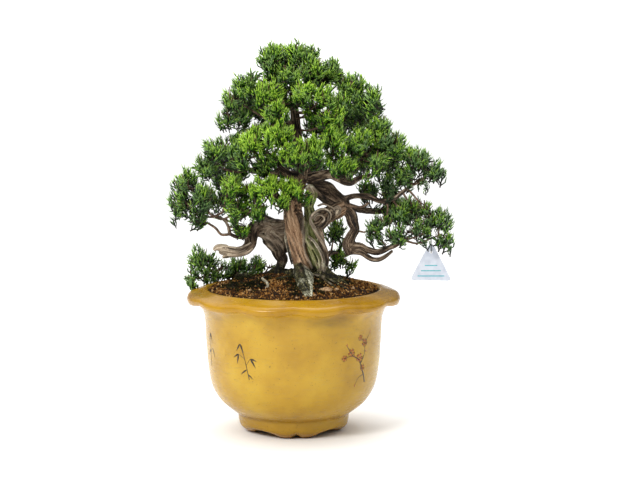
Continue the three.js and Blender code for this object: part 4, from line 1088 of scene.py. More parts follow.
def leaning(azimuth, lean, length, flat):
    """A step of some length that leans away from the branchlet's axis. A flat branchlet leans less in Y."""
    return length * np.array([math.sin(lean) * math.cos(azimuth), flat * math.sin(lean) * math.sin(azimuth),
                              math.cos(lean)])


def on_axis(t, bend):
    """The point at a share of the axis, which is bent and ends at the origin."""
    return np.array([0, 0, AXIS_LENGTH * (t - 1)]) + bend * (t - 1) ** 2


def branchlet_tubes(draw, leader):
    """The tubes of one branchlet, which ends at its origin and comes from below. A leader ends in a bare
    whip, the others stay bushy to the top."""
    bend = np.array([draw.uniform(-3.5, 3.5), draw.uniform(-2, 2), 0])
    tubes = [shoot_tube([on_axis(t, bend) for t in AXIS_SHARES], SHOOT_RADIUS, AXIS_TIPS)]
    flat = draw.uniform(0.4, 0.8)
    span = LEADER_SPAN if leader else BUSHY_SPAN
    for number in range(SIDE_SHOOTS):
        t = LOWEST_SHOOT + span * number / (SIDE_SHOOTS - 1)
        azimuth = number * GOLDEN_ANGLE + draw.uniform(-0.3, 0.3)
        length = (FOOT_SHOOT - SHORTER * t) * draw.uniform(0.75, 1.25)
        start = on_axis(t, bend)
        elbow = start + leaning(azimuth, draw.uniform(0.7, 1.0), ELBOW_SHARE * length, flat)
        end = elbow + leaning(azimuth, draw.uniform(0.1, 0.5), (1 - ELBOW_SHARE) * length, flat)
        tubes.append(shoot_tube([start, elbow, end], SHOOT_RADIUS, (0.6 * t, 0.45 + 0.4 * t, 1)))
        if number < FORKED_SHOOTS:
            turn = azimuth + draw.uniform(1.0, 2.2)
            fork = elbow + leaning(turn, draw.uniform(0.3, 0.6), 0.5 * length, flat)
            middle = 0.5 * (elbow + fork) + np.array([0, 0, -0.4])
            tubes.append(shoot_tube([elbow, middle, fork], SHOOT_RADIUS * FORK_SHARE, (0.5, 0.7, 1)))
    return tubes


def branchlet(number):
    tubes = branchlet_tubes(random.Random(40 + number), number % 2 == 0)
    draw = random.Random(60 + number)
    points, faces = joined([tube[:2] for tube in tubes])
    piece = mesh_piece(f"branchlet_{number}", points - POT_AXIS, faces, leaves)
    store(piece, "tip", "FLOAT", [tip for _, _, tips in tubes for tip in tips])
    shades = [[draw.random()] * len(tips) for _, _, tips in tubes]
    store(piece, "shoot", "FLOAT", np.concatenate(shades))
    return piece


print("kinds of branchlet:", BRANCHLET_KINDS)

# %% [markdown]
# The scales are a matt mid green with a thin wax coat, so the roughness is about 0.4 and the IOR 1.45. New
# growth at the shoot ends is a bright yellow green, and the oldest part of each branchlet turns brown. Pads
# in shade are painted deep and bluish, which is painted shade, and the part of each branchlet near its foot,
# deep in the pad, is painted almost black as painted shade. A tone that belongs to the pad and a shade of
# its own for each branchlet and each shoot mix these. The scales themselves show as a fine bump, 1.2 mm
# from one to the next.
# %% Scale-leaf finish
SCALE_LEAF_SIZE = 1.2
# Colours along a branchlet, from its brown old foot to its tip. The almost black stop is painted shade deep
# in the pad. The deep greens are the painted shade of shaded pads, and the fresh greens are new growth with
# painted light.
OLD_AND_SHADED_GREENS = [(0.0, "#2a2014"), (0.3, "#081404"), (0.62, "#1d3914"), (1.0, "#7fa266")]
FRESH_AND_LIT_GREENS = [(0.0, "#2a1e0e"), (0.3, "#0f2402"), (0.62, "#417606"), (1.0, "#c2ea46")]
OWN_SHADE = 0.8


def scale_leaf():
    material, tree, shader = new_material("juniper_scale_leaf")
    place = add_node(tree, "ShaderNodeTexCoord")["Object"]
    tip, tone, shade, shoot = [
        add_node(tree, "ShaderNodeAttribute", attribute_name=name)["Fac"]
        for name in ("tip", "tone", "shade", "shoot")]
    old_and_shaded_green, fresh = [add_node(tree, "ShaderNodeValToRGB", {"Fac": tip}, stops=stops)[0]
                   for stops in (OLD_AND_SHADED_GREENS, FRESH_AND_LIT_GREENS)]
    both = add_node(tree, "ShaderNodeMath", {0: shade, 1: shoot}, operation="ADD")[0]
    wander = add_node(tree, "ShaderNodeMath", {0: both, 1: OWN_SHADE, 2: -OWN_SHADE},
                      operation="MULTIPLY_ADD")
    mixing = add_node(tree, "ShaderNodeMath", {0: tone, 1: wander[0]}, operation="ADD", use_clamp=True)
    colour = add_node(tree, "ShaderNodeMix", {0: mixing[0], 6: old_and_shaded_green, 7: fresh}, data_type="RGBA")
    scales = add_node(tree, "ShaderNodeTexVoronoi",
                      {"Vector": place, "Scale": 1 / (SCALE_LEAF_SIZE * MILLIMETRE)})
    bump = add_node(tree, "ShaderNodeBump",
                    {"Height": scales["Distance"], "Strength": 0.5, "Distance": 0.0004})
    feed(tree, shader, {"Base Color": colour[2], "Roughness": 0.4, "IOR": 1.45,
                        "Specular IOR Level": 0.35, "Normal": bump[0]})
    return material


leaves = scale_leaf()
branchlets = kind_collection("branchlet_kinds", [branchlet(number) for number in range(BRANCHLET_KINDS)])

# %% [markdown]
# The grower trained the crown into pads, each of a few rounded tufts at the end of a twig. The pads are
# listed with a tone, where 1 is fresh growth in full light and 0 is deep shade, and with the place and the
# three radii of each tuft, in millimetres. The outline of the tree depends on these tufts.
# %% The pads of the crown
CROWN = {
    "apex_left": (0.42, [(-31, -4, 532, 21, 24, 23), (-20, 10, 543, 14, 20, 16)]),
    "apex_top": (0.45, [(0, 0, 536, 21, 24, 21), (-3, -24, 512, 20, 18, 15)]),
    "apex_right": (0.42, [(28, -4, 520, 20, 22, 21), (54, 8, 514, 18, 20, 20), (21, 8, 539, 15, 20, 16)]),
    "upper_left": (0.3, [(-65, -4, 494, 24, 26, 21), (-84, -12, 476, 19, 24, 21),
        (-85, -5, 451, 23, 22, 16), (-46, 0, 501, 14, 18, 14)]),
    "centre_left": (0.75, [(-31, -32, 487, 21, 20, 17), (-24, -45, 464, 19, 20, 17),
        (-13, 10, 476, 8, 12, 14)]),
    "centre_high": (0.85, [(15, -42, 487, 19, 20, 15), (42, -40, 482, 19, 22, 18),
        (53, -38, 455, 18, 22, 17), (25, -20, 464, 12, 14, 10)]),
    "upper_right": (0.35, [(83, 5, 490, 21, 26, 23), (67, -18, 471, 17, 20, 15),
        (70, 14, 501, 16, 20, 15)]),
    "right_shoulder": (0.3, [(104, 0, 473, 22, 28, 24), (118, -4, 442, 20, 26, 18)]),
    "centre_mid": (0.85, [(-22, -60, 432, 23, 22, 18), (-51, -50, 419, 22, 24, 18),
        (-28, -40, 402, 12, 16, 10)]),
    "front_mid": (0.85, [(0, -70, 406, 23, 24, 18), (26, -58, 411, 19, 22, 18)]),
    "left_inner": (0.5, [(-75, -40, 399, 18, 26, 19), (-54, 0, 434, 14, 18, 10),
        (-44, -20, 387, 16, 20, 14)]),
    "right_front": (0.6, [(57, -45, 425, 19, 24, 18), (68, -45, 391, 22, 24, 14),
        (56, -20, 401, 13, 16, 9)]),
    "right_mid": (0.42, [(91, -28, 419, 21, 28, 20), (113, -30, 394, 21, 26, 15)]),
    "right_outer": (0.35, [(125, -12, 419, 20, 28, 20), (145, -10, 405, 18, 26, 17),
        (145, -5, 417, 14, 20, 14)]),
    "right_tip": (0.0, [(158, -5, 370, 18, 24, 14), (175, -8, 392, 20, 26, 18), (196, -8, 379, 19, 22, 13),
        (180, -5, 363, 12, 16, 9)]),
    "left_mid": (0.2, [(-106, -15, 408, 22, 28, 17), (-121, -15, 387, 20, 26, 18),
        (-81, -10, 421, 15, 20, 14)]),
    "left_far": (0.12, [(-129, -30, 340, 18, 26, 22), (-151, -15, 357, 22, 30, 20),
        (-156, -12, 330, 20, 28, 20), (-136, -15, 312, 17, 24, 13)]),
    "left_low": (0.65, [(-85, -45, 357, 18, 24, 18), (-78, -30, 325, 18, 24, 20),
        (-63, -20, 351, 13, 16, 16), (-74, -25, 297, 14, 16, 11)]),
    "front_low": (0.85, [(-40, -62, 357, 22, 22, 16), (-22, -58, 344, 19, 20, 12),
        (-27, -30, 365, 14, 16, 8), (-50, -35, 325, 14, 16, 11)]),
    "front_low_right": (0.95, [(-3, -48, 357, 19, 20, 14), (13, -42, 343, 14, 14, 10)]),
    "lower_right": (0.0, [(144, -18, 288, 20, 26, 17), (121, -8, 295, 20, 28, 19),
        (127, -10, 272, 10, 14, 8), (133, -12, 304, 16, 20, 12)]),
    "lower_right_mid": (0.05, [(157, -2, 316, 21, 30, 20), (179, -15, 298, 20, 28, 18),
        (163, -12, 290, 13, 18, 12), (172, -4, 325, 14, 20, 12)]),
    "lower_right_end": (0.05, [(203, -10, 310, 21, 26, 15), (211, -18, 284, 16, 22, 12),
        (187, -10, 324, 13, 16, 12)]),
    "ground_left": (0.3, [(-120, 66, 218, 17, 22, 13), (-134, 56, 240, 22, 26, 19),
        (-147, 44, 216, 16, 20, 12), (-106, 74, 226, 14, 18, 11)]),
    "ground_mid": (0.2, [(-86, 95, 226, 21, 24, 18), (-57, 92, 229, 18, 20, 16), (-70, 94, 216, 18, 18, 8),
        (-36, 88, 226, 12, 14, 9)]),
    "behind_right": (0.6, [(60, 58, 286, 16, 20, 17), (66, 66, 246, 14, 20, 14),
        (80, 60, 235, 14, 16, 12)]),
    "inner_right": (0.15, [(109, 42, 346, 17, 22, 14), (133, 38, 339, 17, 20, 11),
        (138, 10, 353, 16, 20, 12)]),
    "back_apex": (0.15, [(-14, 34, 515, 24, 22, 23), (22, 38, 504, 24, 24, 22)]),
    "back_upper_left": (0.2, [(-63, 50, 463, 29, 30, 23)]),
    "back_upper_right": (0.2, [(84, 58, 451, 32, 32, 25)]),
    "back_centre": (0.2, [(35, 78, 436, 23, 28, 22), (-15, 82, 433, 23, 28, 20)]),
    "back_left": (0.2, [(-96, 62, 376, 32, 34, 25)]),
    "back_middle": (0.25, [(11, 105, 381, 35, 34, 22)]),
    "back_right": (0.2, [(119, 62, 385, 33, 34, 22)]),
    "back_left_low": (0.2, [(-116, 62, 329, 29, 30, 20)]),
    "back_right_low": (0.2, [(158, 66, 314, 29, 30, 19)]),
}
TUFT_FULLNESS = 1.12
tufts = [(name, np.array(tuft[:3], float), np.array(tuft[3:], float) * TUFT_FULLNESS)
         for name, (_, pad) in CROWN.items() for tuft in pad]
print(len(CROWN), "pads with", len(tufts), "tufts")

# %% [markdown]
# Each pad starts as egg-shaped shells round its tufts. A shell point notes which way a shoot would grow
# there, outwards and up to the light, and how full it is: thin on the underside and where a neighbouring
# tuft takes the light. It also notes its room, which is how long a branchlet may be there before its foot
# would stick out below the tuft. The shells themselves vanish, only the branchlets that stand on them stay.
# %% Tuft shells
SHELL_DIVISIONS = 3
OUTWARD = 0.8
RISING = 0.65
LOWEST_LEAN = -0.3
SHELL_LUMPS = 0.36
LUMP_SIZE = 12
PATCH_OF_LIGHT = 26
# How much the tone changes from the pad's own to the top of a tuft, as painted light, and from patch
# to patch
TOP_LIGHT = 0.25
PATCH_LIGHT = 0.5
# How much a shell faces up, from -1 to 1, where its underside is barest, and the rise to where it is full
BAREST = -0.85
FULL_AFTER = 0.6
LEAST_BELOW = 0.12
# Share of a tuft's radii inside which nothing of a neighbour grows, and the rise to where all of it does
TAKEN = 0.65
FREE_AFTER = 0.3
LEAST_ROOM = 0.4
FOOT_ROOM = 2


def unit_ball():
    """Points and faces of a ball with a radius of 1."""
    mesh = bmesh.new()
    bmesh.ops.create_icosphere(mesh, subdivisions=SHELL_DIVISIONS, radius=1)
    mesh.verts.index_update()
    points = np.array([vertex.co for vertex in mesh.verts])
    faces = [tuple(vertex.index for vertex in face.verts) for face in mesh.faces]
    mesh.free()
    return points, faces


BALL, BALL_FACES = unit_ball()


def crowding(points, own):
    """How deep each point lies in other tufts: 1 outside them all, 0 well inside one."""
    free = np.ones(len(points))
    for number, (_, centre, radii) in enumerate(tufts):
        if number != own:
            depth = np.linalg.norm((points - centre) / radii, axis=1)
            free = np.minimum(free, np.clip((depth - TAKEN) / FREE_AFTER, 0, 1))
    return free


def shell_of(name):
    """The tuft shells of one pad, with their notes for the branchlets."""
    shells, growth, fullness, tones, room = [], [], [], [], []
    for number, (owner, centre, radii) in enumerate(tufts):
        if owner != name:
            continue
        outward = BALL / radii
        outward /= np.linalg.norm(outward, axis=1)[:, None]
        lumps = [noise.noise(Vector(point) / LUMP_SIZE) for point in centre + BALL * radii]
        shell = centre + BALL * radii * (1 + SHELL_LUMPS * np.array(lumps))[:, None]
        rising = outward * OUTWARD + (0, 0, RISING)
        rising[:, 2] = np.maximum(rising[:, 2], LOWEST_LEAN)
        below = np.clip((outward[:, 2] - BAREST) / FULL_AFTER, LEAST_BELOW, 1)
        depth = shell[:, 2] - centre[2] + radii[2] + FOOT_ROOM
        climb = AXIS_LENGTH * rising[:, 2] / np.linalg.norm(rising, axis=1)
        patches = [noise.noise(Vector(point) / PATCH_OF_LIGHT) for point in shell]
        shells.append((shell, BALL_FACES))
        growth.append(rising)
        fullness.append(below * crowding(shell, number))
        room.append(np.clip(depth / np.maximum(climb, 1), LEAST_ROOM, 1))
        # Painted light: the tone is lighter towards the top of each tuft
        tones.append(CROWN[name][0] + TOP_LIGHT * outward[:, 2] + PATCH_LIGHT * np.array(patches))
    piece = mesh_piece("foliage_" + name, *joined(shells), leaves)
    store(piece, "growth", "FLOAT_VECTOR", np.vstack(growth))
    for note, values in (("fullness", fullness), ("tone", tones), ("room", room)):
        store(piece, note, "FLOAT", np.concatenate(values))
    return piece


print("a shell has", len(BALL_FACES), "faces")

# %% [markdown]
# The tree for the foliage spreads points evenly over the shells, with a least distance between them, moves
# each point a random bit inwards, and sets a branchlet there with its end at the point. It is turned to the
# way that shoots grow there, with some disorder, and rolled at random. The branchlets become real faces at
# the end.
# %% Foliage tree
FOLIAGE_DENSITY = 60000.0


def foliage_tree():
    tree, given = new_tree("juniper_foliage", {
        "Spacing": ("Float", 7.0 * MILLIMETRE), "Sink": ("Float", 14.0 * MILLIMETRE),
        "Disorder": ("Float", 0.5), "Smallest": ("Float", 0.75), "Largest": ("Float", 1.4),
        "Seed": ("Int", 0), "Shapes": ("Collection", branchlets), "Material": ("Material", leaves)})
    points = spread_points(tree, given, "fullness", FOLIAGE_DENSITY)
    growth = add_node(tree, "GeometryNodeInputNamedAttribute", {"Name": "growth"}, data_type="FLOAT_VECTOR")
    disorder = add_node(tree, "FunctionNodeRandomValue", {0: (-1, -1, -1), 1: (1, 1, 1), "Seed": 1},
                        data_type="FLOAT_VECTOR")
    astray = add_node(tree, "ShaderNodeVectorMath", {0: disorder[0], "Scale": given["Disorder"]},
                      operation="SCALE")
    mixed = add_node(tree, "ShaderNodeVectorMath", {0: growth[0], 1: astray[0]}, operation="ADD")[0]
    heading = add_node(tree, "ShaderNodeVectorMath", {0: mixed}, operation="NORMALIZE")[0]
    inwards = add_node(tree, "ShaderNodeMath", {0: given["Sink"], 1: -1.0}, operation="MULTIPLY")
    sink = add_node(tree, "FunctionNodeRandomValue", {2: inwards[0], 3: 0.0, "Seed": 2})
    offset = add_node(tree, "ShaderNodeVectorMath", {0: heading, "Scale": sink[1]}, operation="SCALE")
    sunk = add_node(tree, "GeometryNodeSetPosition", {"Geometry": points, "Offset": offset[0]})
    upright = add_node(tree, "FunctionNodeAlignRotationToVector", {"Vector": heading}, axis="Z")
    roll = add_node(tree, "FunctionNodeRandomValue", {2: 0.0, 3: 2 * math.pi, "Seed": 3})
    spin = add_node(tree, "FunctionNodeAxisAngleToRotation", {"Axis": (0, 0, 1), "Angle": roll[1]})
    turned = add_node(tree, "FunctionNodeRotateRotation", {0: upright[0], 1: spin[0]},
                      rotation_space="LOCAL")
    size = add_node(tree, "FunctionNodeRandomValue", {2: given["Smallest"], 3: given["Largest"], "Seed": 5})
    room = add_node(tree, "GeometryNodeInputNamedAttribute", {"Name": "room"})
    fitted = add_node(tree, "ShaderNodeMath", {0: size[1], 1: room[0]}, operation="MULTIPLY")
    placed = set_shapes(tree, given, sunk[0], BRANCHLET_KINDS, turned[0], fitted[0], shade_seed=6)
    end_tree(tree, placed, given["Material"])
    return tree


foliage = foliage_tree()
print("foliage inputs:", [socket.name for socket in foliage.interface.items_tree])

# %% [markdown]
# The pads at the left and the back are more open than those at the front, and those inside the crown, at
# the lower right and near the soil are airier still, so their branchlets stand further apart. A pad belongs
# to the open, the airy or the shaded pads when its name begins with one of their words.
# %% Foliage pieces
FOLIAGE_SPACING = 6.6
OPEN_SPACING = 8.0
AIRY_SPACING = 9.2
OPEN_PADS = ("back", "left", "upper_left")
AIRY_PADS = ("behind", "inner", "left_inner", "lower", "ground")
BRIGHT_PADS = ("apex_top", "centre_high", "centre_mid", "front_mid", "front_low", "front_low_right",
               "centre_left", "right_front")
SHADED_PADS = ("back", "ground", "behind", "inner", "left")

leaf_triangles = 0
for seed, name in enumerate(CROWN):
    piece = shell_of(name)
    spacing = OPEN_SPACING if name.startswith(OPEN_PADS) else FOLIAGE_SPACING
    spacing = AIRY_SPACING if name.startswith(AIRY_PADS) else spacing
    grow(piece, foliage, Seed=seed, Spacing=spacing * MILLIMETRE)
    slot = "leaf_dark" if name.startswith(SHADED_PADS) else "leaf_mid"
    slot = "leaf_bright" if name in BRIGHT_PADS else slot
    dress(piece, slot, "spray_" + name)
    leaf_triangles += triangles(piece)
remove_kinds(branchlets)
print("foliage in all:", leaf_triangles, "triangles")

# %% [markdown]
# Between the pads the real tree shows its twigs: pale brown, as thin as a pencil lead, and forked again and
# again. Each tuft hangs on a twig that leaves the nearest limb, and from the middle of the tuft finer twigs
# fan out to its shoots. The ways are listed as lines with a thickness at each point, and a Geometry Nodes
# tree draws a tapered tube along every one of them.
# %% Twig tubes
TWIG_SIDES = 5
TWIG_STEP = 6.0
TWIG_BROWNS = [(0.32, "#2c1f16"), (0.5, "#5f4936"), (0.68, "#927a65")]


def twig_material():
    """Thin young bark: greyish brown, dull, cracked in short dark rings and pale where it peels."""
    material, tree, shader = new_material("juniper_twig_bark")
    place = add_node(tree, "ShaderNodeTexCoord")["Object"]
    peel = add_node(tree, "ShaderNodeTexNoise", {
        "Vector": place, "Scale": 160, "Detail": 4, "Roughness": 0.65})["Fac"]
    colour = add_node(tree, "ShaderNodeValToRGB", {"Fac": peel}, stops=TWIG_BROWNS)
    bump = add_node(tree, "ShaderNodeBump", {"Height": peel, "Strength": 0.6, "Distance": 0.0005})
    feed(tree, shader, {"Base Color": colour[0], "Roughness": 0.85, "Normal": bump[0]})
    return material


twig_bark = twig_material()


def tube_tree():
    tree, given = new_tree("tapered_tubes", {
        "Sides": ("Int", TWIG_SIDES), "Material": ("Material", twig_bark)})
    thick = add_node(tree, "GeometryNodeInputNamedAttribute", {"Name": "thick"})
    lines = add_node(tree, "GeometryNodeMeshToCurve", {"Mesh": given["Geometry"]})
    ring = add_node(tree, "GeometryNodeCurvePrimitiveCircle", {"Resolution": given["Sides"], "Radius": 1.0})
    tubes = add_node(tree, "GeometryNodeCurveToMesh", {
        "Curve": lines[0], "Profile Curve": ring[0], "Scale": thick[0],
        "Fill Caps": True})
    end_tree(tree, tubes[0], given["Material"])
    return tree


def line_piece(name, ways, material):
    """Lines through points x, y, z, thickness in millimetres, as a mesh of edges."""
    points = np.vstack(ways)
    edges, start = [], 0
    for way in ways:
        edges += [(start + step, start + step + 1) for step in range(len(way) - 1)]
        start += len(way)
    piece = mesh_piece(name, points, [], material, edges=edges)
    store(piece, "thick", "FLOAT", points[:, 3] * MILLIMETRE)
    return piece


tubes = tube_tree()
print("tube inputs:", [socket.name for socket in tubes.interface.items_tree])

# %% [markdown]
# A twig rises from its limb more easily than it falls, so the cheapest place to start is a little below the
# tuft. From the tuft's middle a few finer twigs go out in random directions, with a fixed seed, so that no
# two tufts look alike.
# %% Ways of the twigs
FANS = 9
FALL_COST = 0.6
RISE_SHARE = 0.4
TWIG_STRAY = 0.07
TWIG_SAG = 0.12
TWIG_BASE = 1.9
TWIG_TIP = 0.9
FAN_REACH = 0.78
FAN_BASE = 0.8
FAN_TIP = 0.45
FAN_TAPER = 0.8
FAN_LIFTS = (-0.25, 0.95)
FAN_FOOT = 0.35
FAN_ELBOW = (0.55, 0.55, 0.35)
FOOT_STEP = 8
THIN_LIMB_STEP = 3

# Places where a twig may start: all limbs, and the upper ends of the two strands
bearers = [*LIMBS.values(), STRANDS["red_strand"][6:], STRANDS["green_strand"][5:]]
feet = np.vstack([smooth_path(points, FOOT_STEP) for points in bearers])


def feed_way(centre, draw):
    """The twig that carries a tuft, from the cheapest place on a limb."""
    across = np.linalg.norm(feet[:, :2] - centre[:2], axis=1)
    rise = centre[2] - feet[:, 2]
    cost = np.linalg.norm(feet[:, :3] - centre, axis=1) + FALL_COST * np.abs(rise - RISE_SHARE * across)
    start = feet[cost.argmin()]
    gap = centre - start[:3]
    stray = np.array([draw.uniform(-1, 1) for _ in range(6)]).reshape(2, 3) * TWIG_STRAY * np.linalg.norm(gap)
    sag = np.array([0, 0, -TWIG_SAG * np.linalg.norm(gap[:2])])
    base = min(TWIG_BASE, start[3])
    middle = (base + TWIG_TIP) / 2
    first = start[:3] + gap / 3 + stray[0] + sag
    second = start[:3] + 2 * gap / 3 + stray[1] + sag
    way = [(*start[:3], base), (*first, middle), (*second, middle), (*centre, TWIG_TIP)]
    return smooth_path(way, TWIG_STEP)


def fan_way(centre, radii, draw):
    """A fine twig from a tuft's middle to near its shell, bending up."""
    turn, lift = draw.uniform(0, 2 * math.pi), draw.uniform(*FAN_LIFTS)
    level = math.sqrt(1 - lift**2)
    out = np.array([level * math.cos(turn), level * math.sin(turn), lift]) * radii * FAN_REACH
    low = centre - (0, 0, FAN_FOOT * radii[2])
    elbow = low + out * FAN_ELBOW
    way = [(*low, FAN_BASE), (*elbow, FAN_BASE * FAN_TAPER), (*(centre + out), FAN_TIP)]
    return smooth_path(way, TWIG_STEP)


twig_draw = random.Random(7)
ways = [smooth_path(points, THIN_LIMB_STEP) for points in LIMBS.values() if points[0][3] <= THIN]
for _, centre, radii in tufts:
    ways.append(feed_way(centre, twig_draw))
    ways += [fan_way(centre, radii, twig_draw) for _ in range(FANS)]
twigs = line_piece("twigs", ways, twig_bark)
grow(twigs, tubes)
dress(twigs, "bark")

# %% [markdown]
# The pot is filled with baked-clay grains, brown and dusty, of two to four millimetres. The plain mound of
# soil stays as it is and only gets a crumbly finish of very dark brown, which is painted shade in the gaps
# between the grains, and loose grains lie all over it. A grain is an angular lump with eight faces,
# because thousands lie there. The grains are spread by Geometry Nodes on a thin copy of the mound's top,
# and the attributes of that copy say where moss grows and where the clay is fresh and orange.
# %% Clay grains
GRAIN_KINDS = 4
GRAIN_HALF = 1.75
GRAIN_SPACING = 2.5
DUSTY_BROWNS = [(0.0, "#1c0f04"), (0.25, "#3d240c"), (0.6, "#68421a"), (0.85, "#966b32"), (1.0, "#c09c66")]
GAP_SHADE_BROWNS = [(0.3, "#0c0602"), (0.7, "#2a180a")]
FRESH_ORANGES = [(0.0, "#4a2c10"), (0.5, "#8c5c28"), (1.0, "#c09258")]


def clay(name, browns, shade_name=None):
    """Baked clay: dull, with a colour from dark brown to dusty tan. Under the grains the dark brown is
    painted shade. It reads a shade for each grain, or else the pattern of its crumbs."""
    material, tree, shader = new_material(name)
    place = add_node(tree, "ShaderNodeTexCoord")["Object"]
    crumbs = add_node(tree, "ShaderNodeTexNoise", {
        "Vector": place, "Scale": 500, "Detail": 4, "Roughness": 0.7})["Fac"]
    orange = add_node(tree, "ShaderNodeAttribute", attribute_name="orange")["Fac"]
    shade = crumbs
    if shade_name:
        shade = add_node(tree, "ShaderNodeAttribute", attribute_name=shade_name)["Fac"]
    brown, fresh = [add_node(tree, "ShaderNodeValToRGB", {"Fac": shade}, stops=stops)[0]
                    for stops in (browns, FRESH_ORANGES)]
    colour = add_node(tree, "ShaderNodeMix", {0: orange, 6: brown, 7: fresh}, data_type="RGBA")
    bump = add_node(tree, "ShaderNodeBump", {"Height": crumbs, "Strength": 0.7, "Distance": 0.0008})
    feed(tree, shader, {"Base Color": colour[2], "Roughness": 0.92, "Specular IOR Level": 0.15,
                        "Normal": bump[0]})
    return material


baked_clay = clay("baked_clay_grains", DUSTY_BROWNS, "shade")
# The layer under the grains is painted very dark: painted shade in the gaps between them
clay_in_gap_shade = clay("clay_below_in_painted_shade", GAP_SHADE_BROWNS)
frame["nodes"]["soil"].material_slots[0].material = clay_in_gap_shade


def grain(number):
    """An angular lump: an octahedron with its corners pushed about."""
    draw = random.Random(70 + number)
    corners = np.array([(1, 0, 0), (0, 1, 0), (-1, 0, 0), (0, -1, 0), (0, 0, 1), (0, 0, -1)], float)
    corners *= np.array([[draw.uniform(0.7, 1.2)] for _ in corners])
    corners += np.array([[draw.uniform(-0.25, 0.25) for _ in range(3)] for _ in corners])
    faces = [(0, 1, 4), (1, 2, 4), (2, 3, 4), (3, 0, 4), (1, 0, 5), (2, 1, 5), (3, 2, 5), (0, 3, 5)]
    return mesh_piece(f"grain_{number}", corners * GRAIN_HALF - POT_AXIS, faces, baked_clay, smooth=False)


grains = kind_collection("grain_kinds", [grain(number) for number in range(GRAIN_KINDS)])

# %% Mound top
MOUND_RADIUS = 119.5
MOUND_RINGS = 34
MOUND_TURNS = 96
# How ragged the edges of the places are, in millimetres and as a share, and how full a place is
RAGGED_SIZE = 9
RAGGED_SHARE = 0.35
PLACE_FULLNESS = 1.25
# Share of the grains that moss hides
MOSS_HIDES = 0.97
# Centre and radius of each mossy place, and of each place with fresh orange clay
MOSS_PLACES = [(-62, -44, 26), (-84, -24, 20), (-50, -66, 14), (-42, -20, 16), (-10, -34, 13), (-4, -56, 12),
               (2, -82, 10), (6, -100, 9), (32, -42, 12), (34, -66, 11), (36, -88, 9), (58, -14, 18),
               (52, -34, 12), (76, -20, 10), (-70, 20, 24), (-30, 60, 22), (20, 50, 20), (60, 30, 20),
               (6, -18, 16), (40, -18, 12)]
ORANGE_PLACES = [(-24, -58, 24), (-22, -90, 24), (-18, -35, 15), (70, -70, 12), (-64, -88, 14),
                 (-96, -56, 12), (48, -102, 10)]


def nearness(x, y, places):
    """1 in the middle of a place, 0 at its edge and outside, with a ragged edge."""
    ragged = RAGGED_SHARE * noise.noise(Vector((x, y, 0)) / RAGGED_SIZE)
    gaps = [math.hypot(x - middle_x, y - middle_y) / radius for middle_x, middle_y, radius in places]
    return max(min(1, max(0, PLACE_FULLNESS - gap + ragged)) for gap in gaps)


mound_points = [(0, 0, soil_level(0, 0))]
for ring in range(1, MOUND_RINGS + 1):
    reach = MOUND_RADIUS * ring / MOUND_RINGS
    for turn in range(MOUND_TURNS):
        angle = 2 * math.pi * turn / MOUND_TURNS
        x, y = reach * math.cos(angle), reach * math.sin(angle)
        mound_points.append((x, y, soil_level(x, y)))
mound_faces = [(0, 1 + turn, 1 + (turn + 1) % MOUND_TURNS) for turn in range(MOUND_TURNS)]
for ring in range(MOUND_RINGS - 1):
    low = 1 + ring * MOUND_TURNS
    mound_faces += [(low + turn, low + MOUND_TURNS + turn, low + MOUND_TURNS + (turn + 1) % MOUND_TURNS,
                     low + (turn + 1) % MOUND_TURNS) for turn in range(MOUND_TURNS)]
mossy = [nearness(x, y, MOSS_PLACES) for x, y, _ in mound_points]
orange = [nearness(x, y, ORANGE_PLACES) for x, y, _ in mound_points]
bare = [1 - MOSS_HIDES * share for share in mossy]


def mound(name):
    piece = mesh_piece(name, mound_points, mound_faces, baked_clay)
    for note, values in (("mossy", mossy), ("bare", bare), ("orange", orange)):
        store(piece, note, "FLOAT", values)
    return piece


print("share of the mound under moss:", round(sum(mossy) / len(mossy), 2))

# %% Tree that strews small things
STREWN_DENSITY = 400000.0
# How much of the lift a lump is moved by: down by all of it, up by part of it
LIFT_SHARES = (-1.0, 0.6)


def strewing_tree():
    tree, given = new_tree("strewn_lumps", {
        "Spacing": ("Float", GRAIN_SPACING * MILLIMETRE), "Smallest": ("Float", 0.55),
        "Largest": ("Float", 1.2), "Tumble": ("Float", 1.0), "Lift": ("Float", 0.0),
        "Where": ("String", "bare"), "Seed": ("Int", 0), "Shapes": ("Collection", grains),
        "Material": ("Material", baked_clay)})
    points = spread_points(tree, given, given["Where"], STREWN_DENSITY)
    drop = add_node(tree, "FunctionNodeRandomValue", {2: LIFT_SHARES[0], 3: LIFT_SHARES[1], "Seed": 1})
    height = add_node(tree, "ShaderNodeMath", {0: drop[1], 1: given["Lift"]}, operation="MULTIPLY")
    offset = add_node(tree, "ShaderNodeCombineXYZ", {2: height[0]})
    moved = add_node(tree, "GeometryNodeSetPosition", {"Geometry": points, "Offset": offset[0]})
    turn = add_node(tree, "FunctionNodeRandomValue",
                    {0: (0, 0, 0), 1: (math.pi, math.pi, 2 * math.pi), "Seed": 2}, data_type="FLOAT_VECTOR")
    weights = add_node(tree, "ShaderNodeCombineXYZ", {0: given["Tumble"], 1: given["Tumble"], 2: 1.0})
    turned = add_node(tree, "ShaderNodeVectorMath", {0: turn[0], 1: weights[0]}, operation="MULTIPLY")
    size = add_node(tree, "FunctionNodeRandomValue", {2: given["Smallest"], 3: given["Largest"], "Seed": 3})
    placed = set_shapes(tree, given, moved[0], GRAIN_KINDS, turned[0], size[1], shade_seed=5)
    end_tree(tree, placed, given["Material"])
    return tree


strewing = strewing_tree()
soil_grains = mound("soil_grains")
grow(soil_grains, strewing, Lift=0.8 * MILLIMETRE)
dress(soil_grains, "clay_grains")

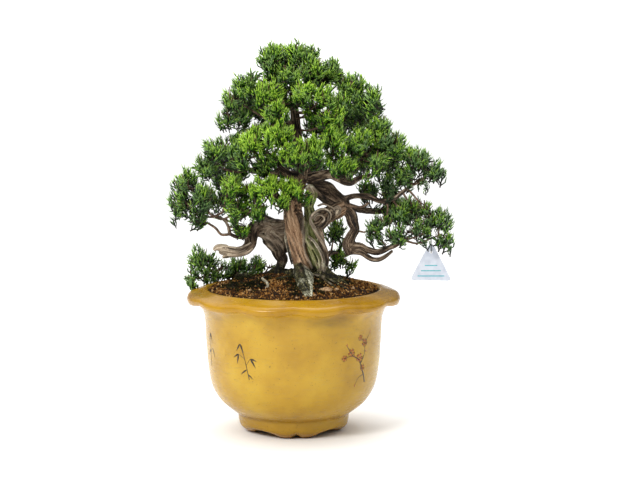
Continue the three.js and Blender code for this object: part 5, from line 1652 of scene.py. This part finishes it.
# %% [markdown]
# Moss and black algae have settled on the shaded side of the soil and round the roots. Moss is a cushion of
# tiny upright shoots, each only three or four millimetres long. A cluster of six three-sided spikes stands
# for a bunch of them, and the same tree strews it where the copy of the mound says that it is mossy.
# %% Moss
MOSS_HEIGHT = 4.2
MOSS_SPIKES = 6
MOSS_SPACING = 2.5
SPIKE_HALF = 0.6
MOSS_GREENS = [(0.0, "#0b0b04"), (0.4, "#191c08"), (0.75, "#3b4118"), (1.0, "#9a9866")]


def moss_finish():
    """Living moss: velvety, from black green at the foot to olive at the tips."""
    material, tree, shader = new_material("soil_moss")
    shade, tip = [add_node(tree, "ShaderNodeAttribute", attribute_name=name)["Fac"]
                  for name in ("shade", "tip")]
    mixed = add_node(tree, "ShaderNodeMath", {0: shade, 1: tip}, operation="MULTIPLY")[0]
    colour = add_node(tree, "ShaderNodeValToRGB", {"Fac": mixed}, stops=MOSS_GREENS)
    feed(tree, shader, {"Base Color": colour[0], "Roughness": 0.9, "Specular IOR Level": 0.1})
    return material


moss = moss_finish()


def moss_bunch(number):
    draw = random.Random(90 + number)
    spikes = []
    for _ in range(MOSS_SPIKES):
        foot = np.array([draw.uniform(-2, 2), draw.uniform(-2, 2), -SPIKE_HALF])
        tip = foot + (draw.uniform(-1.2, 1.2), draw.uniform(-1.2, 1.2), MOSS_HEIGHT * draw.uniform(0.6, 1.1))
        turn = draw.uniform(0, 2)
        corners = [foot + SPIKE_HALF * np.array([math.cos(turn + a), math.sin(turn + a), 0])
                   for a in THIRD_TURNS]
        spikes.append(([*corners, tip], [(2, 1, 0), (0, 1, 3), (1, 2, 3), (2, 0, 3)]))
    points, faces = joined(spikes)
    piece = mesh_piece(f"moss_bunch_{number}", points - POT_AXIS, faces, moss)
    store(piece, "tip", "FLOAT", [0, 0, 0, 1] * MOSS_SPIKES)
    return piece


bunches = kind_collection("moss_kinds", [moss_bunch(number) for number in range(GRAIN_KINDS)])
soil_moss = mound("soil_moss")
grow(soil_moss, strewing, Spacing=MOSS_SPACING * MILLIMETRE, Tumble=0.06, Smallest=0.6, Largest=1.15,
     Where="mossy", Seed=3, Shapes=bunches, Material=moss)
dress(soil_moss, "leaf_dark")
remove_kinds(grains)
remove_kinds(bunches)

# %% [markdown]
# A few pebbles lie on the grains: one flat pale stone right of the big root and some crumbs. Each is a ball
# pressed flat and dented by a noise, and its finish is a dry speckled limestone.
# %% Pebbles
# Place and half sizes in millimetres
PEBBLES = [((46, -79, 213), (9.5, 5.5, 4)), ((5.4, -114, 207.5), (2.2, 1.8, 1.6)),
           ((61, -74, 213.5), (3, 2.4, 2)), ((30, -104, 209.5), (2.6, 2, 1.8)),
           ((-60, -84, 213.5), (2.6, 2, 1.8)), ((84, -56, 212.5), (2.4, 2, 1.7))]
DENT_SHARE = 0.3
DENT_WAVES = 1.3
STONE_TANS = [(0.35, "#6b4f33"), (0.5, "#9a7852"), (0.7, "#c2a884")]


def limestone():
    material, tree, shader = new_material("dry_limestone")
    place = add_node(tree, "ShaderNodeTexCoord")["Object"]
    specks = add_node(tree, "ShaderNodeTexNoise", {"Vector": place, "Scale": 700, "Detail": 3})["Fac"]
    colour = add_node(tree, "ShaderNodeValToRGB", {"Fac": specks}, stops=STONE_TANS)
    bump = add_node(tree, "ShaderNodeBump", {"Height": specks, "Strength": 0.5, "Distance": 0.0005})
    feed(tree, shader, {"Base Color": colour[0], "Roughness": 0.88, "Normal": bump[0]})
    return material


def pebble(place, halves):
    dents = [1 + DENT_SHARE * noise.noise(Vector(point) * DENT_WAVES + Vector(place)) for point in BALL]
    return np.array(place) + BALL * np.array(dents)[:, None] * halves, BALL_FACES


stones = [pebble(place, halves) for place, halves in PEBBLES]
pebbles = mesh_piece("pebbles", *joined(stones), limestone())
dress(pebbles, "clay_grains")

# %% [markdown]
# The grower's tag is a rounded triangle of pale translucent plastic, die-cut from sheet, on a dark annealed
# wire. Under the pot's floor plastic mesh covers the drain holes. These solids have the right shape, so they
# only get their finish. The tag is left blank apart from ruled lines in teal ink, as on any plant label.
# %% Plastics and wire
def plain_finish(name, low, high, scale, roughness, metallic=0.0):
    """A finish whose colour wanders between two tones, over patches of a given size in millimetres."""
    material, tree, shader = new_material(name)
    place = add_node(tree, "ShaderNodeTexCoord")["Object"]
    cloud = add_node(tree, "ShaderNodeTexNoise", {
        "Vector": place, "Scale": 1 / (scale * MILLIMETRE), "Detail": 4})["Fac"]
    colour = add_node(tree, "ShaderNodeValToRGB", {"Fac": cloud}, stops=[(0.35, low), (0.65, high)])
    bump = add_node(tree, "ShaderNodeBump", {"Height": cloud, "Strength": 0.25, "Distance": 0.0003})
    feed(tree, shader, {"Base Color": colour[0], "Roughness": roughness, "Metallic": metallic,
                        "Normal": bump[0]})
    return material


frosted = plain_finish("frosted_polypropylene", "#b4bac6", "#c6cbd4", 9, 0.45)
teal_ink = plain_finish("teal_screen_ink", "#3f9aa6", "#58adb6", 3, 0.5)
wire_finish = plain_finish("annealed_wire", "#1d1b18", "#3a352e", 1.5, 0.5, metallic=0.6)
mesh_finish = plain_finish("black_polyethylene_mesh", "#161616", "#242424", 2, 0.55)
finishes = {"tag": frosted, "tag_wire": wire_finish}
finishes |= {name: mesh_finish for name in frame["nodes"] if name.startswith("drain_screen")}
for name, finish in finishes.items():
    frame["nodes"][name].material_slots[0].material = finish
print("solids that keep their shape:", ", ".join(finishes))

# %% Ruled lines on the tag
TAG_FRONT = -14.4
TAG_MIDDLE = 195.5
INK_HEIGHT = 0.15
# Half length, height and half thickness of each line
RULED_LINES = [(9, 239, 0.7), (14, 231.5, 0.7), (19, 224, 0.7)]


def bar(centre, halves):
    """Corners and faces of a small closed bar."""
    signs = [(x, y, z) for x in (-1, 1) for y in (-1, 1) for z in (-1, 1)]
    faces = [(0, 1, 3, 2), (4, 6, 7, 5), (0, 4, 5, 1), (2, 3, 7, 6), (0, 2, 6, 4), (1, 5, 7, 3)]
    return [np.array(centre) + np.array(sign) * halves for sign in signs], faces


bars = [bar((TAG_MIDDLE, TAG_FRONT - INK_HEIGHT / 3, height), (half, INK_HEIGHT, thin))
        for half, height, thin in RULED_LINES]
tag_ruling = mesh_piece("tag_ruling", *joined(bars), teal_ink, smooth=False)
dress(tag_ruling, "tag_plastic")

# %% [markdown]
# The potter brushed a few motifs on the wall in dark iron pigment: bamboo leaves at the left, and at the
# right a plum twig with washes of red. Pigment under a glaze lies flat, so each stroke is a closed ribbon a
# fraction of a millimetre thick that hugs the wall. Its way is given in millimetres across from a middle
# line and in millimetres of height, and it is pressed on the wall at the wall's own radius there.
# %% Strokes on the wall
WALL_FROM_RADIUS = 80
WALL_TOP = 170
WALL_RADIUS = 124
STROKE_HEIGHT = 0.22
STROKE_EDGE = -0.05
STROKE_ROOT = -0.5
STROKE_STEP = 1.2
THINNEST_STROKE = 0.12

wall_start = int(np.argmax(profile[:, 0] >= WALL_FROM_RADIUS))
wall_end = wall_start + int(np.argmax(profile[wall_start:, 2] >= WALL_TOP))


def on_wall(across, height, middle_angle, lift):
    """A point on the pot's outer wall, raised by some millimetres. The middle line's angle is in degrees."""
    turn = math.radians(middle_angle) + across / WALL_RADIUS
    ring = pot_surface(profile[wall_start:wall_end], turn)
    radius = np.interp(height, ring[:, 2], np.hypot(ring[:, 0], ring[:, 1])) + lift
    return np.array([radius * math.sin(turn), -radius * math.cos(turn), height])


def stroke(points, middle_angle):
    """A brushed ribbon through points across, up and half width, in millimetres."""
    way = smooth_path([(x, z, 0, half) for x, z, half in points], STROKE_STEP)
    along = np.gradient(way[:, :2], axis=0)
    along /= np.linalg.norm(along, axis=1)[:, None]
    corners = []
    for (x, z, _, half), (dx, dz) in zip(way, along):
        half = max(half, THINNEST_STROKE)
        for side, lift in ((-1, STROKE_EDGE), (0, STROKE_HEIGHT), (1, STROKE_EDGE), (0, STROKE_ROOT)):
            corners.append(on_wall(x - dz * side * half, z + dx * side * half, middle_angle, lift))
    faces = [(0, 1, 2, 3), tuple(4 * (len(way) - 1) + corner for corner in (3, 2, 1, 0))]
    for step in range(len(way) - 1):
        low = 4 * step
        faces += [(low + (k + 1) % 4, low + k, low + 4 + k, low + 4 + (k + 1) % 4) for k in range(4)]
    return corners, faces


def leaf(x, z, turn, length, half):
    """A stroke that starts thin, swells and ends in a point, as a loaded brush makes it."""
    dx, dz = math.cos(math.radians(turn)), math.sin(math.radians(turn))
    return [(x, z, 0.25), (x + 0.3 * length * dx, z + 0.3 * length * dz, half),
            (x + 0.6 * length * dx, z + 0.6 * length * dz - 0.4, half * 0.75),
            (x + length * dx, z + length * dz - 1.5, THINNEST_STROKE)]


def painted(name, strokes, material):
    """One piece of all strokes, each given with the angle of its middle line."""
    piece = mesh_piece(name, *joined([stroke(way, middle_angle) for way, middle_angle in strokes]), material)
    dress(piece, "pot_glaze")


iron_brown = plain_finish("iron_pigment_under_glaze", "#180d05", "#33200f", 4, 0.35)
iron_red = plain_finish("red_pigment_wash", "#7d3014", "#a5601f", 3, 0.35)
print("the wall is painted between", round(profile[wall_start, 2]), "and", round(profile[wall_end, 2]), "mm")

# %% Painted motifs
# The angle of each motif's middle line from the front, in degrees
FRONT_BAMBOO, SIDE_BAMBOO, PLUM = -33, -68, 46
CULMS = {
    FRONT_BAMBOO: [[(8, 92, 0.8), (5, 108, 0.7), (1, 124, 0.6), (-5, 142, 0.4)],
                   [(4, 112, 0.45), (11, 122, 0.35)], [(2, 121, 0.45), (-8, 127, 0.3)]],
    SIDE_BAMBOO: [[(-3, 100, 0.8), (-2, 122, 0.7), (1, 148, 0.5)], [(-2, 120, 0.5), (6, 127, 0.3)]],
    PLUM: [[(20, 82, 1.6), (15, 94, 1.3), (9, 104, 1.2), (3, 116, 1), (-10, 124, 0.8), (-20, 138, 0.5)],
           [(6, 110, 0.9), (14, 122, 0.8), (16, 138, 0.6), (27, 152, 0.4)], [(16, 136, 0.5), (6, 147, 0.3)],
           [(-10, 124, 0.6), (-24, 121, 0.35)], [(15, 94, 0.7), (4, 90, 0.5), (-2, 81, 0.3)]],
}
# Where a leaf starts, its direction in degrees, its length and half width
LEAVES = {
    FRONT_BAMBOO: [(11, 122, -55, 14, 1.7), (11, 122, -12, 11, 1.4), (-8, 127, -105, 13, 1.6),
                   (-8, 127, -155, 10, 1.4), (-5, 142, -68, 14, 1.7), (-5, 142, -125, 12, 1.5),
                   (5, 106, -150, 12, 1.4), (6, 100, -35, 10, 1.3)],
    SIDE_BAMBOO: [(1, 148, -70, 14, 1.7), (1, 148, -125, 13, 1.5), (-2, 124, -140, 12, 1.4),
                  (6, 127, -60, 13, 1.5)],
}
# Middle and size of each blossom, and the places of the buds, all on the plum twig
BLOSSOMS = [(-12, 128, 5.6), (14, 139, 5.4), (4, 119, 6.2), (-24, 121, 4.2), (11, 104, 4.6), (5, 147, 4)]
BUDS = [(-20, 139), (27, 153), (-2, 80), (18, 127), (-6, 122)]
PETALS = 5

ink = [(way, angle) for angle, ways_there in CULMS.items() for way in ways_there]
ink += [(leaf(*given), angle) for angle, leaves_there in LEAVES.items() for given in leaves_there]
wash = []
for x, z, size in BLOSSOMS:
    for petal in range(PETALS):
        turn = math.radians(360 / PETALS * petal + 10 * size)
        dx, dz = math.cos(turn) * size, math.sin(turn) * size
        wash.append(([(x + 0.25 * dx, z + 0.25 * dz, 0.3), (x + 0.55 * dx, z + 0.55 * dz, 0.42 * size),
                      (x + 0.85 * dx, z + 0.85 * dz, 0.36 * size), (x + dx, z + dz, 0.12)], PLUM))
        ink.append(([(x, z, 0.25), (x + 0.5 * dx, z + 0.5 * dz, 0.25)], PLUM))
        rim = [(x + 1.05 * (math.cos(turn + a) * size), z + 1.05 * (math.sin(turn + a) * size), 0.22)
               for a in (-0.45, 0, 0.45)]
        ink.append((rim, PLUM))
wash += [([(x, z - 2.2, 0.15), (x, z, 1.6), (x, z + 2.2, 0.15)], PLUM) for x, z in BUDS]
painted("painted_wash", wash, iron_red)
painted("painted_ink", ink, iron_brown)
